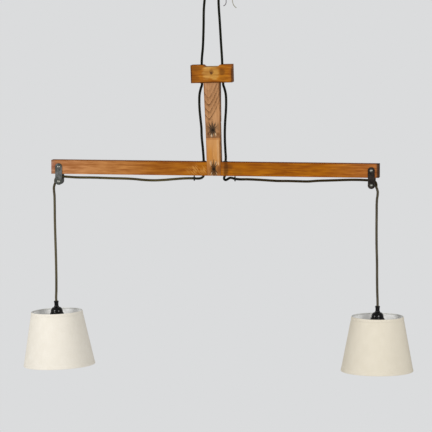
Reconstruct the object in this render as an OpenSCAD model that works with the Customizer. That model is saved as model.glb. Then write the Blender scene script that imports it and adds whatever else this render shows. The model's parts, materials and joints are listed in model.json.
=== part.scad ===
// Two-lamp pendant: an oak T-frame that hangs on two textile cords. Each cord runs down
// through the frame, along under the beam and over a roller at its end to a lamp.
// The origin is the middle of the ceiling bracket's upper face, with +X along the beam,
// -Y to the front and +Z up.

/* [Ceiling bracket] */
// Length of the plate against the ceiling
plate_len = 140; // [110:5:200]
// Depth of the plate, front to back
plate_w = 40; // [30:1:60]
// Corner radius of the plate
plate_corner = 6; // [3:1:12]
// Thickness of the bracket's steel
steel_t = 3; // [2:0.5:5]
// Distance between the two holes for ceiling screws
fix_spacing = 110; // [90:5:160]
// Diameter of a hole for a ceiling screw
fix_hole = 5; // [4:0.5:7]
// Length of the upright that the cords are clamped to
upright_len = 90; // [80:5:110]
// How far the upright hangs below the ceiling
upright_h = 42; // [36:1:60]
// Half the distance between the cords at the clamp
clamp_x = 25; // [18:1:30]
// Length of the clamp bar
clamp_len = 86; // [76:1:100]
// Height of the clamp bar
clamp_h = 14; // [10:1:18]
// Thickness of the clamp bar
clamp_t = 9.5; // [8:0.5:14]
// Radius of the clamp screws
clamp_screw_r = 2; // [1.5:0.25:2.5]

/* [Hanging] */
// From the ceiling down to the middle of the beam
hang = 666.5; // [600:0.5:900]
// How far the middle of the beam hangs to the right of the bracket
beam_mid = 11; // [0:1:20]
// How far the post leans to the left, out of square to the beam, in degrees
post_lean = 1.6; // [0:0.1:3]

/* [Beam] */
// Length of the beam
beam_len = 1204; // [900:2:1500]
// Height of the beam
beam_h = 50; // [40:1:70]
// Thickness of the beam and the post, front to back
wood_t = 40; // [30:1:60]
// Half the distance between the cord holes in the beam
beam_hole_x = 40; // [36:1:60]
// Half the distance between the screw eyes under the beam
eye_x = 75; // [60:1:120]
// Gap between wood and wood in the joints
joint_gap = 0.1; // [0.05:0.05:0.3]

/* [Post] */
// Width of the lower post
post_w = 52; // [40:1:60]
// Width of the upper post at its top
post_top_w = 59; // [50:1:60]
// From the middle of the beam up to the line where the two posts meet in front
meet_h = 113.5; // [80:0.5:160]
// Length of the half-lap between the two posts
lap_len = 57; // [40:1:80]
// From the middle of the beam up to the underside of the cross block
post_h = 314; // [260:1:400]
// Width of the tenon in the cross block
tenon_w = 30; // [20:1:40]
// Thickness of the tenon
tenon_t = 16; // [10:1:20]
// Length of the tenon
tenon_h = 40; // [25:1:45]

/* [Cross block] */
// Length of the block
block_len = 151; // [120:1:200]
// Height of the block
block_h = 65; // [55:1:80]
// Depth of the block, front to back
block_t = 52; // [44:1:70]
// How far the block sits to the right of the post's centre line
block_shift = 1; // [0:0.5:5]
// Half the distance between the cord holes in the block
block_hole_x = 39; // [39:1:50]
// Half the width of the hollow in the block's top
saddle_half = 33; // [25:1:45]
// Half the width of the hollow's flat bottom
saddle_flat = 22; // [10:1:30]
// Depth of the hollow
saddle_deep = 6.5; // [4:0.5:12]
// Diameter of the old dowel hole in the block's right end
dowel_d = 17; // [10:1:24]
// Depth of the dowel hole
dowel_deep = 12; // [5:1:20]

/* [Cords and bushes] */
// Diameter of the textile cord
cord_d = 9; // [7:0.5:10]
// Radial room between a cord and the bush that it runs through
bush_room = 1; // [0.5:0.25:2]
// Wall of a bush
bush_wall = 1.2; // [1:0.1:2]
// Radius of a bush's collar
bush_collar_r = 8.7; // [7.5:0.1:9.4]
// Thickness of a bush's collar
bush_collar_t = 1.5; // [1:0.25:3]
// Length of a bush's sleeve in the wood
bush_len = 12; // [6:1:18]
// Radius of a screw eye, to the middle of its wire
eye_r = 7.5; // [7:0.5:9.5]
// Thickness of a screw eye's wire
eye_wire = 3.8; // [2.5:0.1:5]
// From the beam's underside down to the middle of a screw eye
eye_drop = 12; // [10:0.5:16]
// How far a screw eye goes into the beam
eye_screw = 18; // [10:1:25]
// How far a screw eye's ring is turned out of square, in degrees
eye_turn = 18; // [0:1:30]

/* [Wood screws] */
// Radius of a wood screw's head
head_r = 5; // [4:0.5:7]
// Radius of a wood screw's shank
shank_r = 2.2; // [1.5:0.1:3]
// Width of the slot in a screw's head
slot_w = 1.2; // [0.8:0.1:2]

/* [Shackles] */
// From the beam's end in to the middle of a shackle
shackle_in = 27.5; // [18:0.5:40]
// Width of a shackle plate
shackle_w = 25; // [20:1:32]
// Thickness of a shackle plate
shackle_t = 3; // [2:0.5:5]
// Distance between a shackle's bolt and its roller pin
shackle_pitch = 54; // [50:1:70]
// How far a shackle's bolt is above the middle of the beam
bolt_rise = 1.5; // [0:0.5:5]
// Radius of the shackle bolt
bolt_r = 3; // [2:0.5:4]
// Radius of the roller pin
pin_r = 4; // [3:0.5:5]
// Radius of the domed heads
dome_r = 6.5; // [5.5:0.5:8]
// Height of the domed heads
dome_h = 3.5; // [2:0.5:5]
// Thickness of the nuts
nut_t = 4.5; // [3:0.5:6]
// Radius of a roller at its rims
roller_r = 13.5; // [12:0.5:15]
// Radius of a roller at the bottom of its groove
groove_r = 11; // [9.5:0.5:11.5]
// Running clearance between a roller and its pin
run_gap = 0.06; // [0.03:0.01:0.1]
// Side play of a roller between its plates
side_gap = 0.5; // [0.2:0.1:1]

/* [Lamps] */
// From the middle of the beam down to the left lampholder's top
left_drop = 497; // [430:1:800]
// From the middle of the beam down to the right lampholder's top
right_drop = 493.5; // [430:0.5:800]
// How far the left lamp hangs to the left of its roller pin
left_out = 15.5; // [5:0.5:20]
// How far the right lamp hangs to the right of its roller pin
right_out = 23.5; // [5:0.5:30]
// Tilt of the left lamp, in degrees
left_tilt = 2.6; // [0:0.1:5]
// Tilt of the right lamp, in degrees
right_tilt = 0.2; // [0:0.1:5]

/* [Lampholder] */
// Height of the cord grip above the dome
grip_h = 23; // [20:0.5:30]
// Radius of the nut at the cord grip's top
grip_nut_r = 8.8; // [8:0.2:10]
// Height of that nut
grip_nut_h = 7; // [5:0.5:9]
// Radius of the cord grip's waist
grip_waist_r = 7.8; // [6.5:0.1:8]
// Radius of the cord grip at its foot
grip_r = 9.4; // [8.6:0.2:11]
// Length of the cord grip's threaded spigot
spigot_h = 7; // [5:0.5:9]
// Radius of the spigot
spigot_r = 6; // [5.2:0.05:7]
// Height of the dome
dome_cap_h = 17.5; // [16:0.5:28]
// Radius of the dome
cap_r = 22.5; // [21.5:0.1:26]
// Wall of the bakelite parts
shell_t = 2.2; // [1.6:0.1:2.5]
// Radius of the collar on which the shade is seated
collar_r = 26; // [24.5:0.5:30]
// Height of that collar, which flares out below the dome
collar_t = 9.5; // [7.5:0.5:12]
// Radius of the holder's threaded barrel
barrel_r = 19.6; // [19.2:0.1:20]
// Length of the barrel below the collar
barrel_h = 36; // [34:1:46]
// Length of the brass thread shell in the barrel
socket_h = 28; // [26:0.5:30]
// Inner radius of the brass thread shell
socket_r = 13.3; // [13:0.1:13.5]
// Thickness of the thread shell
socket_t = 0.6; // [0.4:0.1:1]
// Height of the shade ring
ring_h = 8; // [6:0.5:12]
// Radius of the shade ring
ring_r = 25.5; // [24:0.5:29]
// Clearance between turned parts that screw together
turn_gap = 0.15; // [0.1:0.05:0.2]

/* [Shades] */
// Diameter of a shade at its top
shade_top_d = 188; // [150:2:240]
// Diameter of a shade at its bottom
shade_bottom_d = 264; // [220:2:340]
// Height of a shade
shade_h = 200; // [150:2:260]
// Thickness of the lined linen
shade_t = 1.2; // [0.8:0.1:2]
// From the collar's underside up to the shade's top edge
shade_rise = 12; // [4:0.5:13]
// Height of the hem bands
hem_h = 9; // [6:1:16]
// How far the hem bands stand proud
hem_t = 0.6; // [0.3:0.1:1]
// Thickness of the wires
wire_d = 3; // [2:0.25:4]
// Thickness of the spider's hub
hub_t = 1.5; // [1:0.25:2]

/* [Hidden] */

$fn = 64;
eps = 1;
thread_gap = 0.05;
core_d = 3;
cord_r = cord_d / 2;
cord_seat = cord_r + turn_gap;

// The shackles hang on the beam's ends, and each roller pin is below its bolt.
pin_x = beam_len / 2 - shackle_in;
shackle_front = wood_t / 2 + shackle_t;

// Radii and heights in a lampholder, measured down from its top.
cap_top = -grip_h;
collar_top = cap_top - dome_cap_h;
collar_low = collar_top - collar_t;
hub_low = collar_low - hub_t;
barrel_low = collar_low - barrel_h;
liner_r = socket_r + socket_t;
bore_r = liner_r + thread_gap;
carrier_r = 17;
carrier_low = collar_top - 6;
carrier_h = 9;
neck_in_r = barrel_r + 0.4;
neck_h = 5;
neck_taper = 1.2;
contact_h = 4;
terminal_x = 9;

// Heights in a shade, measured down from the lampholder's top.
rim_top = collar_low + shade_rise;
rim_low = rim_top - shade_h;
function shade_r(z) = shade_top_d / 2
    + (shade_bottom_d - shade_top_d) / 2 * (rim_top - z) / shade_h;
wire_r = wire_d / 2;
top_wire_z = rim_top - 1 - wire_r;
low_wire_z = rim_low + 1 + wire_r;
function wire_ring_r(z) = shade_r(z) - shade_t - wire_r - 0.3;

// Places on the cords' middle lines that follow the named sizes, at the left (-1) or right (1).
block_top = post_h + block_h;
wrap_r = groove_r + cord_r + 1;
meet_gap = 0.1;
// How much closer to the block's middle a cord is at the block's top than at its bush.
top_lean = 1.5;
function post_point(x, z) = [beam_mid + x * cos(post_lean) - z * sin(post_lean), 0,
    x * sin(post_lean) + z * cos(post_lean) - hang];
function at_clamp(side) = [side * clamp_x, 0, -14];
function in_block(side, z) = post_point(block_shift + side * block_hole_x, z);
function on_block(side, z) = in_block(side, block_top + z) - side * [top_lean, 0, 0];
function in_beam(side, z) = [beam_mid + side * beam_hole_x, 0, z - hang];
function in_eye(side) = [beam_mid + side * eye_x, 0, -beam_h / 2 - eye_drop - hang];
function round_roller(side, a) = [beam_mid + side * (pin_x + wrap_r * sin(a)), 0,
    wrap_r * cos(a) + bolt_rise - shackle_pitch - hang];
function off_roller(side, z) = round_roller(side, 90) + [0, 0, z];
function tilt(side) = side < 0 ? -left_tilt : right_tilt;
function neck(side) = side < 0 ? [beam_mid - pin_x - left_out, 0, -left_drop - hang]
    : [beam_mid + pin_x + right_out, 0, -right_drop - hang];
function in_neck(side, z) = neck(side) + z * [sin(tilt(side)), 0, cos(tilt(side))];

// The free spans of the cords, drawn by hand as [x, z] points on their middle lines.
left_upper_span = [[-25, -42], [-28.3, -85], [-29.3, -150], [-31.6, -220], [-36, -282]];
right_upper_span = [[25, -42], [26, -75], [29.6, -130], [34, -205], [38.5, -280]];
left_post_span = [[-35.5, -361.5], [-39.5, -374], [-44.2, -396], [-45.2, -422], [-44.2, -450],
    [-40.5, -490], [-37.6, -519], [-36.6, -548], [-32, -597], [-29, -641.5]];
right_post_span = [[42.5, -359.5], [46.5, -372], [51.5, -392], [53.3, -425], [52.4, -455],
    [49.5, -500], [48.5, -550], [50.5, -600], [52, -630], [51, -641.5]];
left_turn_span = [[-29, -689.5], [-31, -696], [-36, -700.8], [-42, -703], [-50, -704],
    [-64, -703.5]];
right_turn_span = [[51, -681.5], [50, -690], [47, -696.5], [46, -702.5], [46.7, -705.3],
    [48.8, -707.3], [51.5, -708], [54.3, -707.3], [59, -704.5], [64, -701.6], [70, -699.8],
    [77, -701], [86, -703.5]];
left_beam_span = [[-64, -703.5], [-106, -704.6], [-141, -707.6], [-178, -711], [-214, -712.8],
    [-251, -711.8], [-288, -708.8], [-324, -707.5], [-361, -707.2], [-434, -705.7], [-507, -705.4],
    [-545, -703.4], [-563.5, -702.5]];
right_beam_span = [[86, -703.5], [97, -704.6], [133, -704.6], [170, -705.6], [206, -707.4],
    [243, -709], [280, -708.8], [316, -709.2], [353, -709.4], [389, -706.6], [426, -705],
    [463, -703.4], [499, -701.8], [536, -701.2], [565, -701.9], [585.5, -702.5]];
left_drop_span = [[-580, -727], [-582.6, -733], [-585.2, -743], [-585, -755], [-583.4, -773],
    [-582.8, -800], [-582.4, -864], [-581.2, -920], [-579.8, -974], [-578.7, -1030],
    [-578.2, -1085], [-578.6, -1130], [-579.4, -1155.5]];
right_drop_span = [[602, -727], [604.4, -733], [607, -743], [606.8, -755], [605, -768],
    [604, -784], [603.8, -820], [603.6, -880], [604.2, -940], [606, -1000], [606.6, -1060],
    [607.6, -1110], [609, -1152]];

// A span as drawn, moved so that it starts at a and ends at b.
function span(drawn, a, b) = let (low = drawn[0], high = drawn[len(drawn) - 1])
    [for (p = drawn) let (share = norm(p - low) / norm(high - low),
        move = (1 - share) * [a.x - low[0], a.z - low[1]] + share * [b.x - high[0], b.z - high[1]])
        [p[0] + move[0], 0, p[1] + move[1]]];
// A span without its last point, for the next span to start there.
function open_end(points) = [for (i = [0:len(points) - 2]) points[i]];

function upper_route(side) = concat([at_clamp(side)],
    span(side < 0 ? left_upper_span : right_upper_span,
        at_clamp(side) - [0, 0, 28], on_block(side, 6)), [on_block(side, meet_gap)]);
function frame_route(side) = concat(
    [on_block(side, 0), on_block(side, -4), in_block(side, post_h)],
    span(side < 0 ? left_post_span : right_post_span,
        in_block(side, post_h - 8), in_beam(side, beam_h / 2)),
    open_end(span(side < 0 ? left_turn_span : right_turn_span,
        in_beam(side, (side < 0 ? 2 : 10) - beam_h / 2), in_eye(side))),
    span(side < 0 ? left_beam_span : right_beam_span, in_eye(side), round_roller(side, 0)),
    [for (a = [22.5, 45, 67.5, 90]) round_roller(side, a)], [off_roller(side, -3)]);
function drop_route(side) = concat([off_roller(side, -3 - meet_gap)],
    span(side < 0 ? left_drop_span : right_drop_span, off_roller(side, -8), in_neck(side, 8)),
    [in_neck(side, 0), in_neck(side, -10)]);

// Bared cores, which stand up from the clamped ends and hang over.
dark_core_route = [[26, 1.6, -13.9], [26, 1.6, -12], [29, 1.6, -9], [34, 1.6, -8],
    [43, 1.6, -11], [50, 1.6, -20], [52.5, 1.6, -38], [53, 1.6, -56], [52, 1.6, -66],
    [48.5, 1.6, -72], [43, 1.6, -75]];
light_core_route = [[24, -1.8, -13.9], [24, -1.8, -12], [26, -1.8, -8], [31, -1.8, -6],
    [50, -1.8, -6], [63, -1.8, -9], [72, -1.8, -20], [76, -1.8, -38], [77, -1.8, -60],
    [80, -1.8, -70], [85, -1.8, -77], [91, -1.8, -82]];
left_core_route = [[-26, 1.6, -13.9], [-26, 1.6, -12], [-29, 1.6, -8.5], [-36, 1.6, -7],
    [-45, 1.6, -10], [-51, 1.6, -20], [-52, 1.6, -34]];

// A unit vector along v.
function unit(v) = v / norm(v);
// The direction of a route at point i, from the points on either side of it.
function heading(r, i) = unit(r[min(i + 1, len(r) - 1)] - r[max(i - 1, 0)]);

// A tube of diameter d along a route that lies in a plane of constant y.
module tube(route, d, sides) {
    across = [0, 1, 0];
    last = len(route) - 1;
    rings = [for (i = [0:last])
        let (side = unit(cross(across, heading(route, i))))
        for (k = [0:sides - 1])
            route[i] + d / 2 * (cos(360 * k / sides) * side + sin(360 * k / sides) * across)];
    walls = [for (i = [0:last - 1], k = [0:sides - 1])
        let (a = i * sides, b = (k + 1) % sides)
        [a + k, a + sides + k, a + sides + b, a + b]];
    low = [for (k = [0:sides - 1]) k];
    high = [for (k = [sides - 1:-1:0]) last * sides + k];
    polyhedron(rings, concat([low, high], walls));
}

// A rectangle with round corners, about its middle.
module rounded_rect(w, h, r) {
    square([w - 2 * r, h], center = true);
    square([w, h - 2 * r], center = true);
    for (x = [-1, 1], y = [-1, 1])
        translate([x * (w / 2 - r), y * (h / 2 - r)]) circle(r);
}

// A cylinder along Y, from y = from to y = to.
module y_cylinder(r, from, to) {
    translate([0, to, 0]) rotate([90, 0, 0]) cylinder(r = r, h = to - from);
}

// A box given by its lowest and highest corner.
module corner_box(low, high) {
    translate(low) cube(high - low);
}

// Places what belongs to the beam, which hangs level.
module on_beam() {
    translate([beam_mid, 0, -hang]) children();
}

// Places what belongs to the post, which leans about the crossing.
module on_post() {
    on_beam() rotate([0, -post_lean, 0]) children();
}

// Places a shackle's pieces: side is -1 at the left end and 1 at the right end.
module on_shackle(side) {
    on_beam() translate([side * pin_x, 0, bolt_rise]) children();
}

// Places a lamp's pieces, tilted about the point where its cord goes in.
module on_lamp(side) {
    translate(neck(side)) rotate([0, tilt(side), 0]) children();
}

// The ceiling bracket: a plate and an upright, folded from one strip of steel.
module ceiling_bracket() {
    color("#26262a")
    difference() {
        union() {
            translate([0, 0, -steel_t])
                linear_extrude(steel_t) rounded_rect(plate_len, plate_w, plate_corner);
            corner_box([-upright_len / 2, cord_seat, -upright_h],
                [upright_len / 2, cord_seat + steel_t, -steel_t]);
        }
        for (x = [-1, 1]) {
            translate([x * fix_spacing / 2, 0, -steel_t - eps])
                cylinder(d = fix_hole, h = steel_t + 2 * eps);
            translate([x * clamp_screw_x(), 0, clamp_z()])
                y_cylinder(clamp_screw_r + thread_gap, cord_seat - eps, cord_seat + steel_t + eps);
        }
    }
}
function clamp_screw_x() = clamp_len / 2 - 7;
function clamp_z() = -upright_h + clamp_h / 2 + 4;

// The bar that clamps both cords to the bracket's upright.
module clamp_bar() {
    back = 0.5;
    color("#26262a")
    difference() {
        corner_box([-clamp_len / 2, back - clamp_t, clamp_z() - clamp_h / 2],
            [clamp_len / 2, back, clamp_z() + clamp_h / 2]);
        for (x = [-1, 1]) {
            translate([x * clamp_x, 0, clamp_z() - clamp_h])
                cylinder(r = cord_seat, h = 2 * clamp_h);
            translate([x * clamp_screw_x(), 0, clamp_z()])
                y_cylinder(clamp_screw_r + thread_gap, back - clamp_t - eps, back + eps);
        }
    }
}

// The two screws that pull the clamp bar tight.
module clamp_screws() {
    front = 0.5 - clamp_t;
    color("silver")
    for (x = [-1, 1]) translate([x * clamp_screw_x(), 0, clamp_z()]) {
        y_cylinder(clamp_screw_r, front, cord_seat + steel_t + 2);
        difference() {
            y_cylinder(1.8 * clamp_screw_r, front - 2.4, front);
            corner_box([-0.5, front - 3, -2 * clamp_screw_r],
                [0.5, front - 1.2, 2 * clamp_screw_r]);
        }
    }
}

// A countersunk, slotted wood screw along +Y, with its head's face at y = 0.
module wood_screw(length) {
    head = head_r - shank_r;
    difference() {
        rotate([-90, 0, 0]) rotate_extrude()
            polygon([[0, 0], [head_r, 0], [head_r, 0.6], [shank_r, head + 0.6],
                [shank_r, length - 4], [0, length]]);
        rotate([0, 30, 0])
            corner_box([-head_r - eps, -eps, -slot_w / 2], [head_r + eps, 1.2, slot_w / 2]);
    }
}

// The hole for that screw, with its countersink.
module screw_hole(length) {
    r = shank_r + thread_gap;
    head = head_r - shank_r;
    rotate([-90, 0, 0]) rotate_extrude()
        polygon([[0, -eps], [head_r + thread_gap, -eps], [head_r + thread_gap, 0.6],
            [r, head + 0.6 + thread_gap], [r, length + thread_gap], [0, length + thread_gap]]);
}

// Where the three screws go in, measured on the post.
cross_face = -wood_t / 2 + 0.4;
cross_len = wood_t - 6;
block_face = -block_t / 2 + 0.4;
block_screw_len = block_t / 2 + tenon_t / 2 - 3;
module at_crossing() { on_post() translate([0, cross_face, 0]) children(); }
module at_lap() { on_post() translate([0, cross_face, meet_h + lap_len / 2]) children(); }
module at_block() {
    on_post() translate([block_shift, block_face, post_h + tenon_h - 5]) children();
}

// The beam, halved at the crossing and bored for the cords, bolts and screw eyes.
module beam() {
    color("#b06a26")
    difference() {
        on_beam() corner_box([-beam_len / 2, -wood_t / 2, -beam_h / 2],
            [beam_len / 2, wood_t / 2, beam_h / 2]);
        on_post() corner_box([-post_w / 2 - joint_gap, -wood_t / 2 - eps, -beam_h],
            [post_w / 2 + joint_gap, 0, beam_h]);
        on_beam() for (x = [-1, 1]) {
            translate([x * beam_hole_x, 0, -beam_h / 2 - eps])
                cylinder(r = bush_r() + thread_gap, h = beam_h + 2 * eps);
            translate([x * eye_x, 0, -beam_h / 2 - eps])
                cylinder(d = eye_wire + 2 * thread_gap, h = eye_screw + eps);
            translate([x * pin_x, 0, bolt_rise])
                y_cylinder(bolt_r + thread_gap, -wood_t / 2 - eps, wood_t / 2 + eps);
        }
        at_crossing() screw_hole(cross_len);
    }
}

// The lower post: its front half crosses the beam, its back half is the lap's tongue.
module lower_post() {
    color("#c98a4a")
    difference() {
        on_post() union() {
            corner_box([-post_w / 2, -wood_t / 2, -beam_h], [post_w / 2, 0, meet_h]);
            corner_box([-post_w / 2, 0, 0], [post_w / 2, wood_t / 2, meet_h + lap_len]);
        }
        on_beam() corner_box([-2 * post_w, -joint_gap, -2 * beam_h],
            [2 * post_w, wood_t, beam_h / 2 + joint_gap]);
        on_beam() corner_box([-2 * post_w, -wood_t, -2 * beam_h], [2 * post_w, wood_t, -beam_h / 2]);
        at_crossing() screw_hole(cross_len);
        at_lap() screw_hole(cross_len);
    }
}

// The upper post widens to its top, laps over the tongue and ends in a tenon.
module upper_post() {
    lap_top = meet_h + lap_len;
    color("#b98a5e")
    difference() {
        on_post() union() {
            difference() {
                translate([0, wood_t / 2, 0]) rotate([90, 0, 0]) linear_extrude(wood_t)
                    polygon([[-post_w / 2, meet_h + joint_gap], [post_w / 2, meet_h + joint_gap],
                        [post_top_w / 2, post_h], [-post_top_w / 2, post_h]]);
                corner_box([-post_top_w, -joint_gap, 0], [post_top_w, wood_t, lap_top + joint_gap]);
            }
            corner_box([-tenon_w / 2, -tenon_t / 2, post_h - eps],
                [tenon_w / 2, tenon_t / 2, post_h + tenon_h]);
        }
        at_lap() screw_hole(cross_len);
        at_block() screw_hole(block_screw_len);
    }
}

// The cross block, with a hollow in its top between the two cord holes.
module cross_block() {
    color("#aa6524")
    difference() {
        on_post() difference() {
            corner_box([block_shift - block_len / 2, -block_t / 2, post_h],
                [block_shift + block_len / 2, block_t / 2, block_top]);
            corner_box([-tenon_w / 2 - joint_gap, -tenon_t / 2 - joint_gap, post_h - eps],
                [tenon_w / 2 + joint_gap, tenon_t / 2 + joint_gap, post_h + tenon_h + joint_gap]);
            translate([block_shift, block_t, block_top]) rotate([90, 0, 0])
                linear_extrude(2 * block_t) hollow_outline();
            for (x = [-1, 1])
                translate([block_shift + x * block_hole_x, 0, post_h - eps])
                    cylinder(r = bush_r() + thread_gap, h = block_h + 2 * eps);
            translate([block_shift + block_len / 2 - dowel_deep, block_t / 2 - dowel_d / 2 - 5,
                block_top - dowel_d / 2 - 6])
                rotate([0, 90, 0]) cylinder(d = dowel_d, h = dowel_deep + eps);
        }
        at_block() screw_hole(block_screw_len);
    }
}

// The hollow's outline: a flat bottom between two flanks that follow half a cosine wave.
module hollow_outline() {
    steps = 10;
    flank = [for (k = [0:steps]) [saddle_half - (saddle_half - saddle_flat) * k / steps,
        -saddle_deep * (1 - cos(180 * k / steps)) / 2]];
    polygon(concat([[saddle_half, eps]], flank,
        [for (k = [steps:-1:0]) [-flank[k][0], flank[k][1]]], [[-saddle_half, eps]]));
}

// A black bush with its collar on top of z = 0 and its sleeve below.
function bush_r() = cord_r + bush_room + bush_wall;
module bush() {
    inner = cord_r + bush_room;
    rotate_extrude() difference() {
        union() {
            translate([0, -bush_len]) square([bush_r(), bush_len]);
            square([bush_collar_r, bush_collar_t]);
        }
        translate([0, -bush_len - eps])
            square([inner, bush_len + bush_collar_t + 2 * eps]);
    }
}
module beam_bushes() {
    color("#1c1c1c")
    on_beam() for (x = [-1, 1]) translate([x * beam_hole_x, 0, beam_h / 2]) bush();
}
module block_bushes() {
    color("#1c1c1c")
    on_post() for (x = [-1, 1])
        translate([block_shift + x * block_hole_x, 0, post_h]) rotate([180, 0, 0]) bush();
}

// A screw eye under the beam, whose ring faces along the beam.
module screw_eye(side) {
    color("#1c1c1c")
    on_beam() translate([side * eye_x, 0, -beam_h / 2 - eye_drop]) rotate([0, 0, eye_turn]) {
        rotate([0, 90, 0]) rotate_extrude() translate([eye_r, 0]) circle(d = eye_wire, $fn = 24);
        translate([0, 0, eye_r])
            cylinder(d = eye_wire, h = eye_drop - eye_r + eye_screw - thread_gap);
    }
}

// One iron plate of a shackle, with its front face at y = face.
module shackle_plate(side, face) {
    color("#2b2a2e")
    on_shackle(side) translate([0, face + shackle_t, 0]) rotate([90, 0, 0])
        linear_extrude(shackle_t) difference() {
            union() {
                circle(d = shackle_w);
                translate([0, -shackle_pitch]) circle(d = shackle_w);
                translate([-shackle_w / 2, -shackle_pitch]) square([shackle_w, shackle_pitch]);
            }
            circle(bolt_r + thread_gap);
            translate([0, -shackle_pitch]) circle(pin_r + thread_gap);
        }
}

// A bolt or pin along Y with a domed head in front, long enough for its nut behind.
module domed_pin(r) {
    sphere_r = (dome_r * dome_r + dome_h * dome_h) / (2 * dome_h);
    y_cylinder(r, -shackle_front, shackle_front + nut_t + 1.5);
    translate([0, -shackle_front, 0]) rotate([90, 0, 0]) intersection() {
        translate([0, 0, dome_h - sphere_r]) sphere(sphere_r);
        cylinder(r = dome_r + eps, h = dome_h + eps);
    }
}
module shackle_bolt(side) {
    color("silver") on_shackle(side) domed_pin(bolt_r);
}
module roller_pin(side) {
    color("silver") on_shackle(side) translate([0, 0, -shackle_pitch]) domed_pin(pin_r);
}

// The two hexagon nuts behind a shackle.
module nut(r) {
    difference() {
        translate([0, shackle_front + nut_t, 0]) rotate([90, 0, 0])
            cylinder(r = 1.9 * r, h = nut_t, $fn = 6);
        y_cylinder(r + thread_gap, shackle_front - eps, shackle_front + nut_t + eps);
    }
}
module shackle_nuts(side) {
    color("#2b2a2e") on_shackle(side) {
        nut(bolt_r);
        translate([0, 0, -shackle_pitch]) nut(pin_r);
    }
}

// A grooved roller that turns on its pin.
module roller(side) {
    half = wood_t / 2 - side_gap;
    hollow_r = cord_r + 1;
    reach = acos((groove_r + hollow_r - roller_r) / hollow_r);
    hollow = [for (k = [-8:8]) [groove_r + hollow_r - hollow_r * cos(reach * k / 8),
        hollow_r * sin(reach * k / 8)]];
    color("#3a3a3c")
    on_shackle(side) translate([0, 0, -shackle_pitch]) rotate([90, 0, 0]) rotate_extrude()
        polygon(concat([[pin_r + run_gap, -half], [roller_r - 1, -half], [roller_r, 1 - half]],
            hollow, [[roller_r, half - 1], [roller_r - 1, half], [pin_r + run_gap, half]]));
}

// The cord grip: a nut on a sleeve with a waist, which screws into the dome.
module cord_grip(side) {
    inner = cord_r + turn_gap;
    color("#18181a") on_lamp(side) rotate_extrude() polygon([[inner, 0],
        [grip_nut_r - 1, 0], [grip_nut_r, -1], [grip_nut_r, 1 - grip_nut_h],
        [grip_waist_r, -grip_nut_h], [grip_waist_r, 5 - grip_h], [grip_r, 2.5 - grip_h],
        [grip_r, -grip_h], [spigot_r, -grip_h], [spigot_r, -grip_h - spigot_h],
        [inner, -grip_h - spigot_h]]);
}

// The bakelite dome: a quarter of an ellipse, turned, with a hole for the cord grip.
module holder_cap(side) {
    steps = 12;
    rise = [for (k = [0:steps]) [sin(90 * k / steps), cos(90 * k / steps)]];
    outer = [for (p = rise) [grip_r + (cap_r - grip_r) * p[0], collar_top + dome_cap_h * p[1]]];
    inner_r = neck_in_r + turn_gap;
    inside = [for (k = [steps:-1:0])
        [grip_r + (inner_r - grip_r) * rise[k][0],
            collar_top + (dome_cap_h - shell_t) * rise[k][1]]];
    hole = spigot_r + thread_gap;
    color("#18181a") on_lamp(side) rotate_extrude()
        polygon(concat([[hole, cap_top]], outer, inside, [[hole, cap_top - shell_t]]));
}

// The holder's body: a neck inside the dome, the collar and the barrel around the socket.
module holder_body(side) {
    color("#18181a") on_lamp(side) rotate_extrude() polygon([
        [carrier_r + turn_gap, collar_top + neck_h],
        [neck_in_r - neck_taper, collar_top + neck_h], [neck_in_r, collar_top + 2],
        [neck_in_r, collar_top], [cap_r, collar_top], [cap_r + 0.6, collar_top - 2],
        [collar_r - 0.9, collar_low + 4.5], [collar_r, collar_low + 3],
        [collar_r, collar_low], [barrel_r, collar_low], [barrel_r, barrel_low + 2],
        [barrel_r - 2, barrel_low], [bore_r, barrel_low], [bore_r, carrier_low],
        [carrier_r + turn_gap, carrier_low]]);
}

// The ceramic block that carries the contacts, seated on the body's inner ledge.
module contact_block(side) {
    color("#e6e1d6") on_lamp(side) difference() {
        translate([0, 0, carrier_low]) cylinder(r = carrier_r, h = carrier_h);
        translate([0, 0, carrier_low - eps]) cylinder(r = 1.5 + thread_gap, h = carrier_h + 2 * eps);
        for (x = [-1, 1]) translate([x * terminal_x, 0, carrier_low + carrier_h - 5])
            cylinder(r = 1.7 + thread_gap, h = 5 + eps);
    }
}

// Two brass screws on the contact block that hold the cord's cores.
module terminal_screws(side) {
    top = carrier_low + carrier_h;
    color("#b58b3a") on_lamp(side) for (x = [-1, 1]) translate([x * terminal_x, 0, top]) {
        translate([0, 0, -5 + thread_gap]) cylinder(r = 1.7, h = 5);
        difference() {
            cylinder(r = 3, h = 2);
            corner_box([-0.4, -4, 1.2], [0.4, 4, 3]);
        }
    }
}

// The brass liner that the bulb screws into.
module thread_shell(side) {
    color("#c0a050") on_lamp(side) translate([0, 0, barrel_low + 2]) difference() {
        cylinder(r = liner_r, h = socket_h);
        translate([0, 0, -eps]) cylinder(r = socket_r, h = socket_h + 2 * eps);
    }
}

// The sprung brass contact in the middle of the socket.
module centre_contact(side) {
    color("#c0a050") on_lamp(side) {
        translate([0, 0, carrier_low - contact_h]) cylinder(r = 1.5, h = contact_h + carrier_h);
        translate([0, 0, carrier_low - contact_h - 1]) cylinder(r1 = 3.2, r2 = 4.5, h = 1.5);
    }
}

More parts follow.
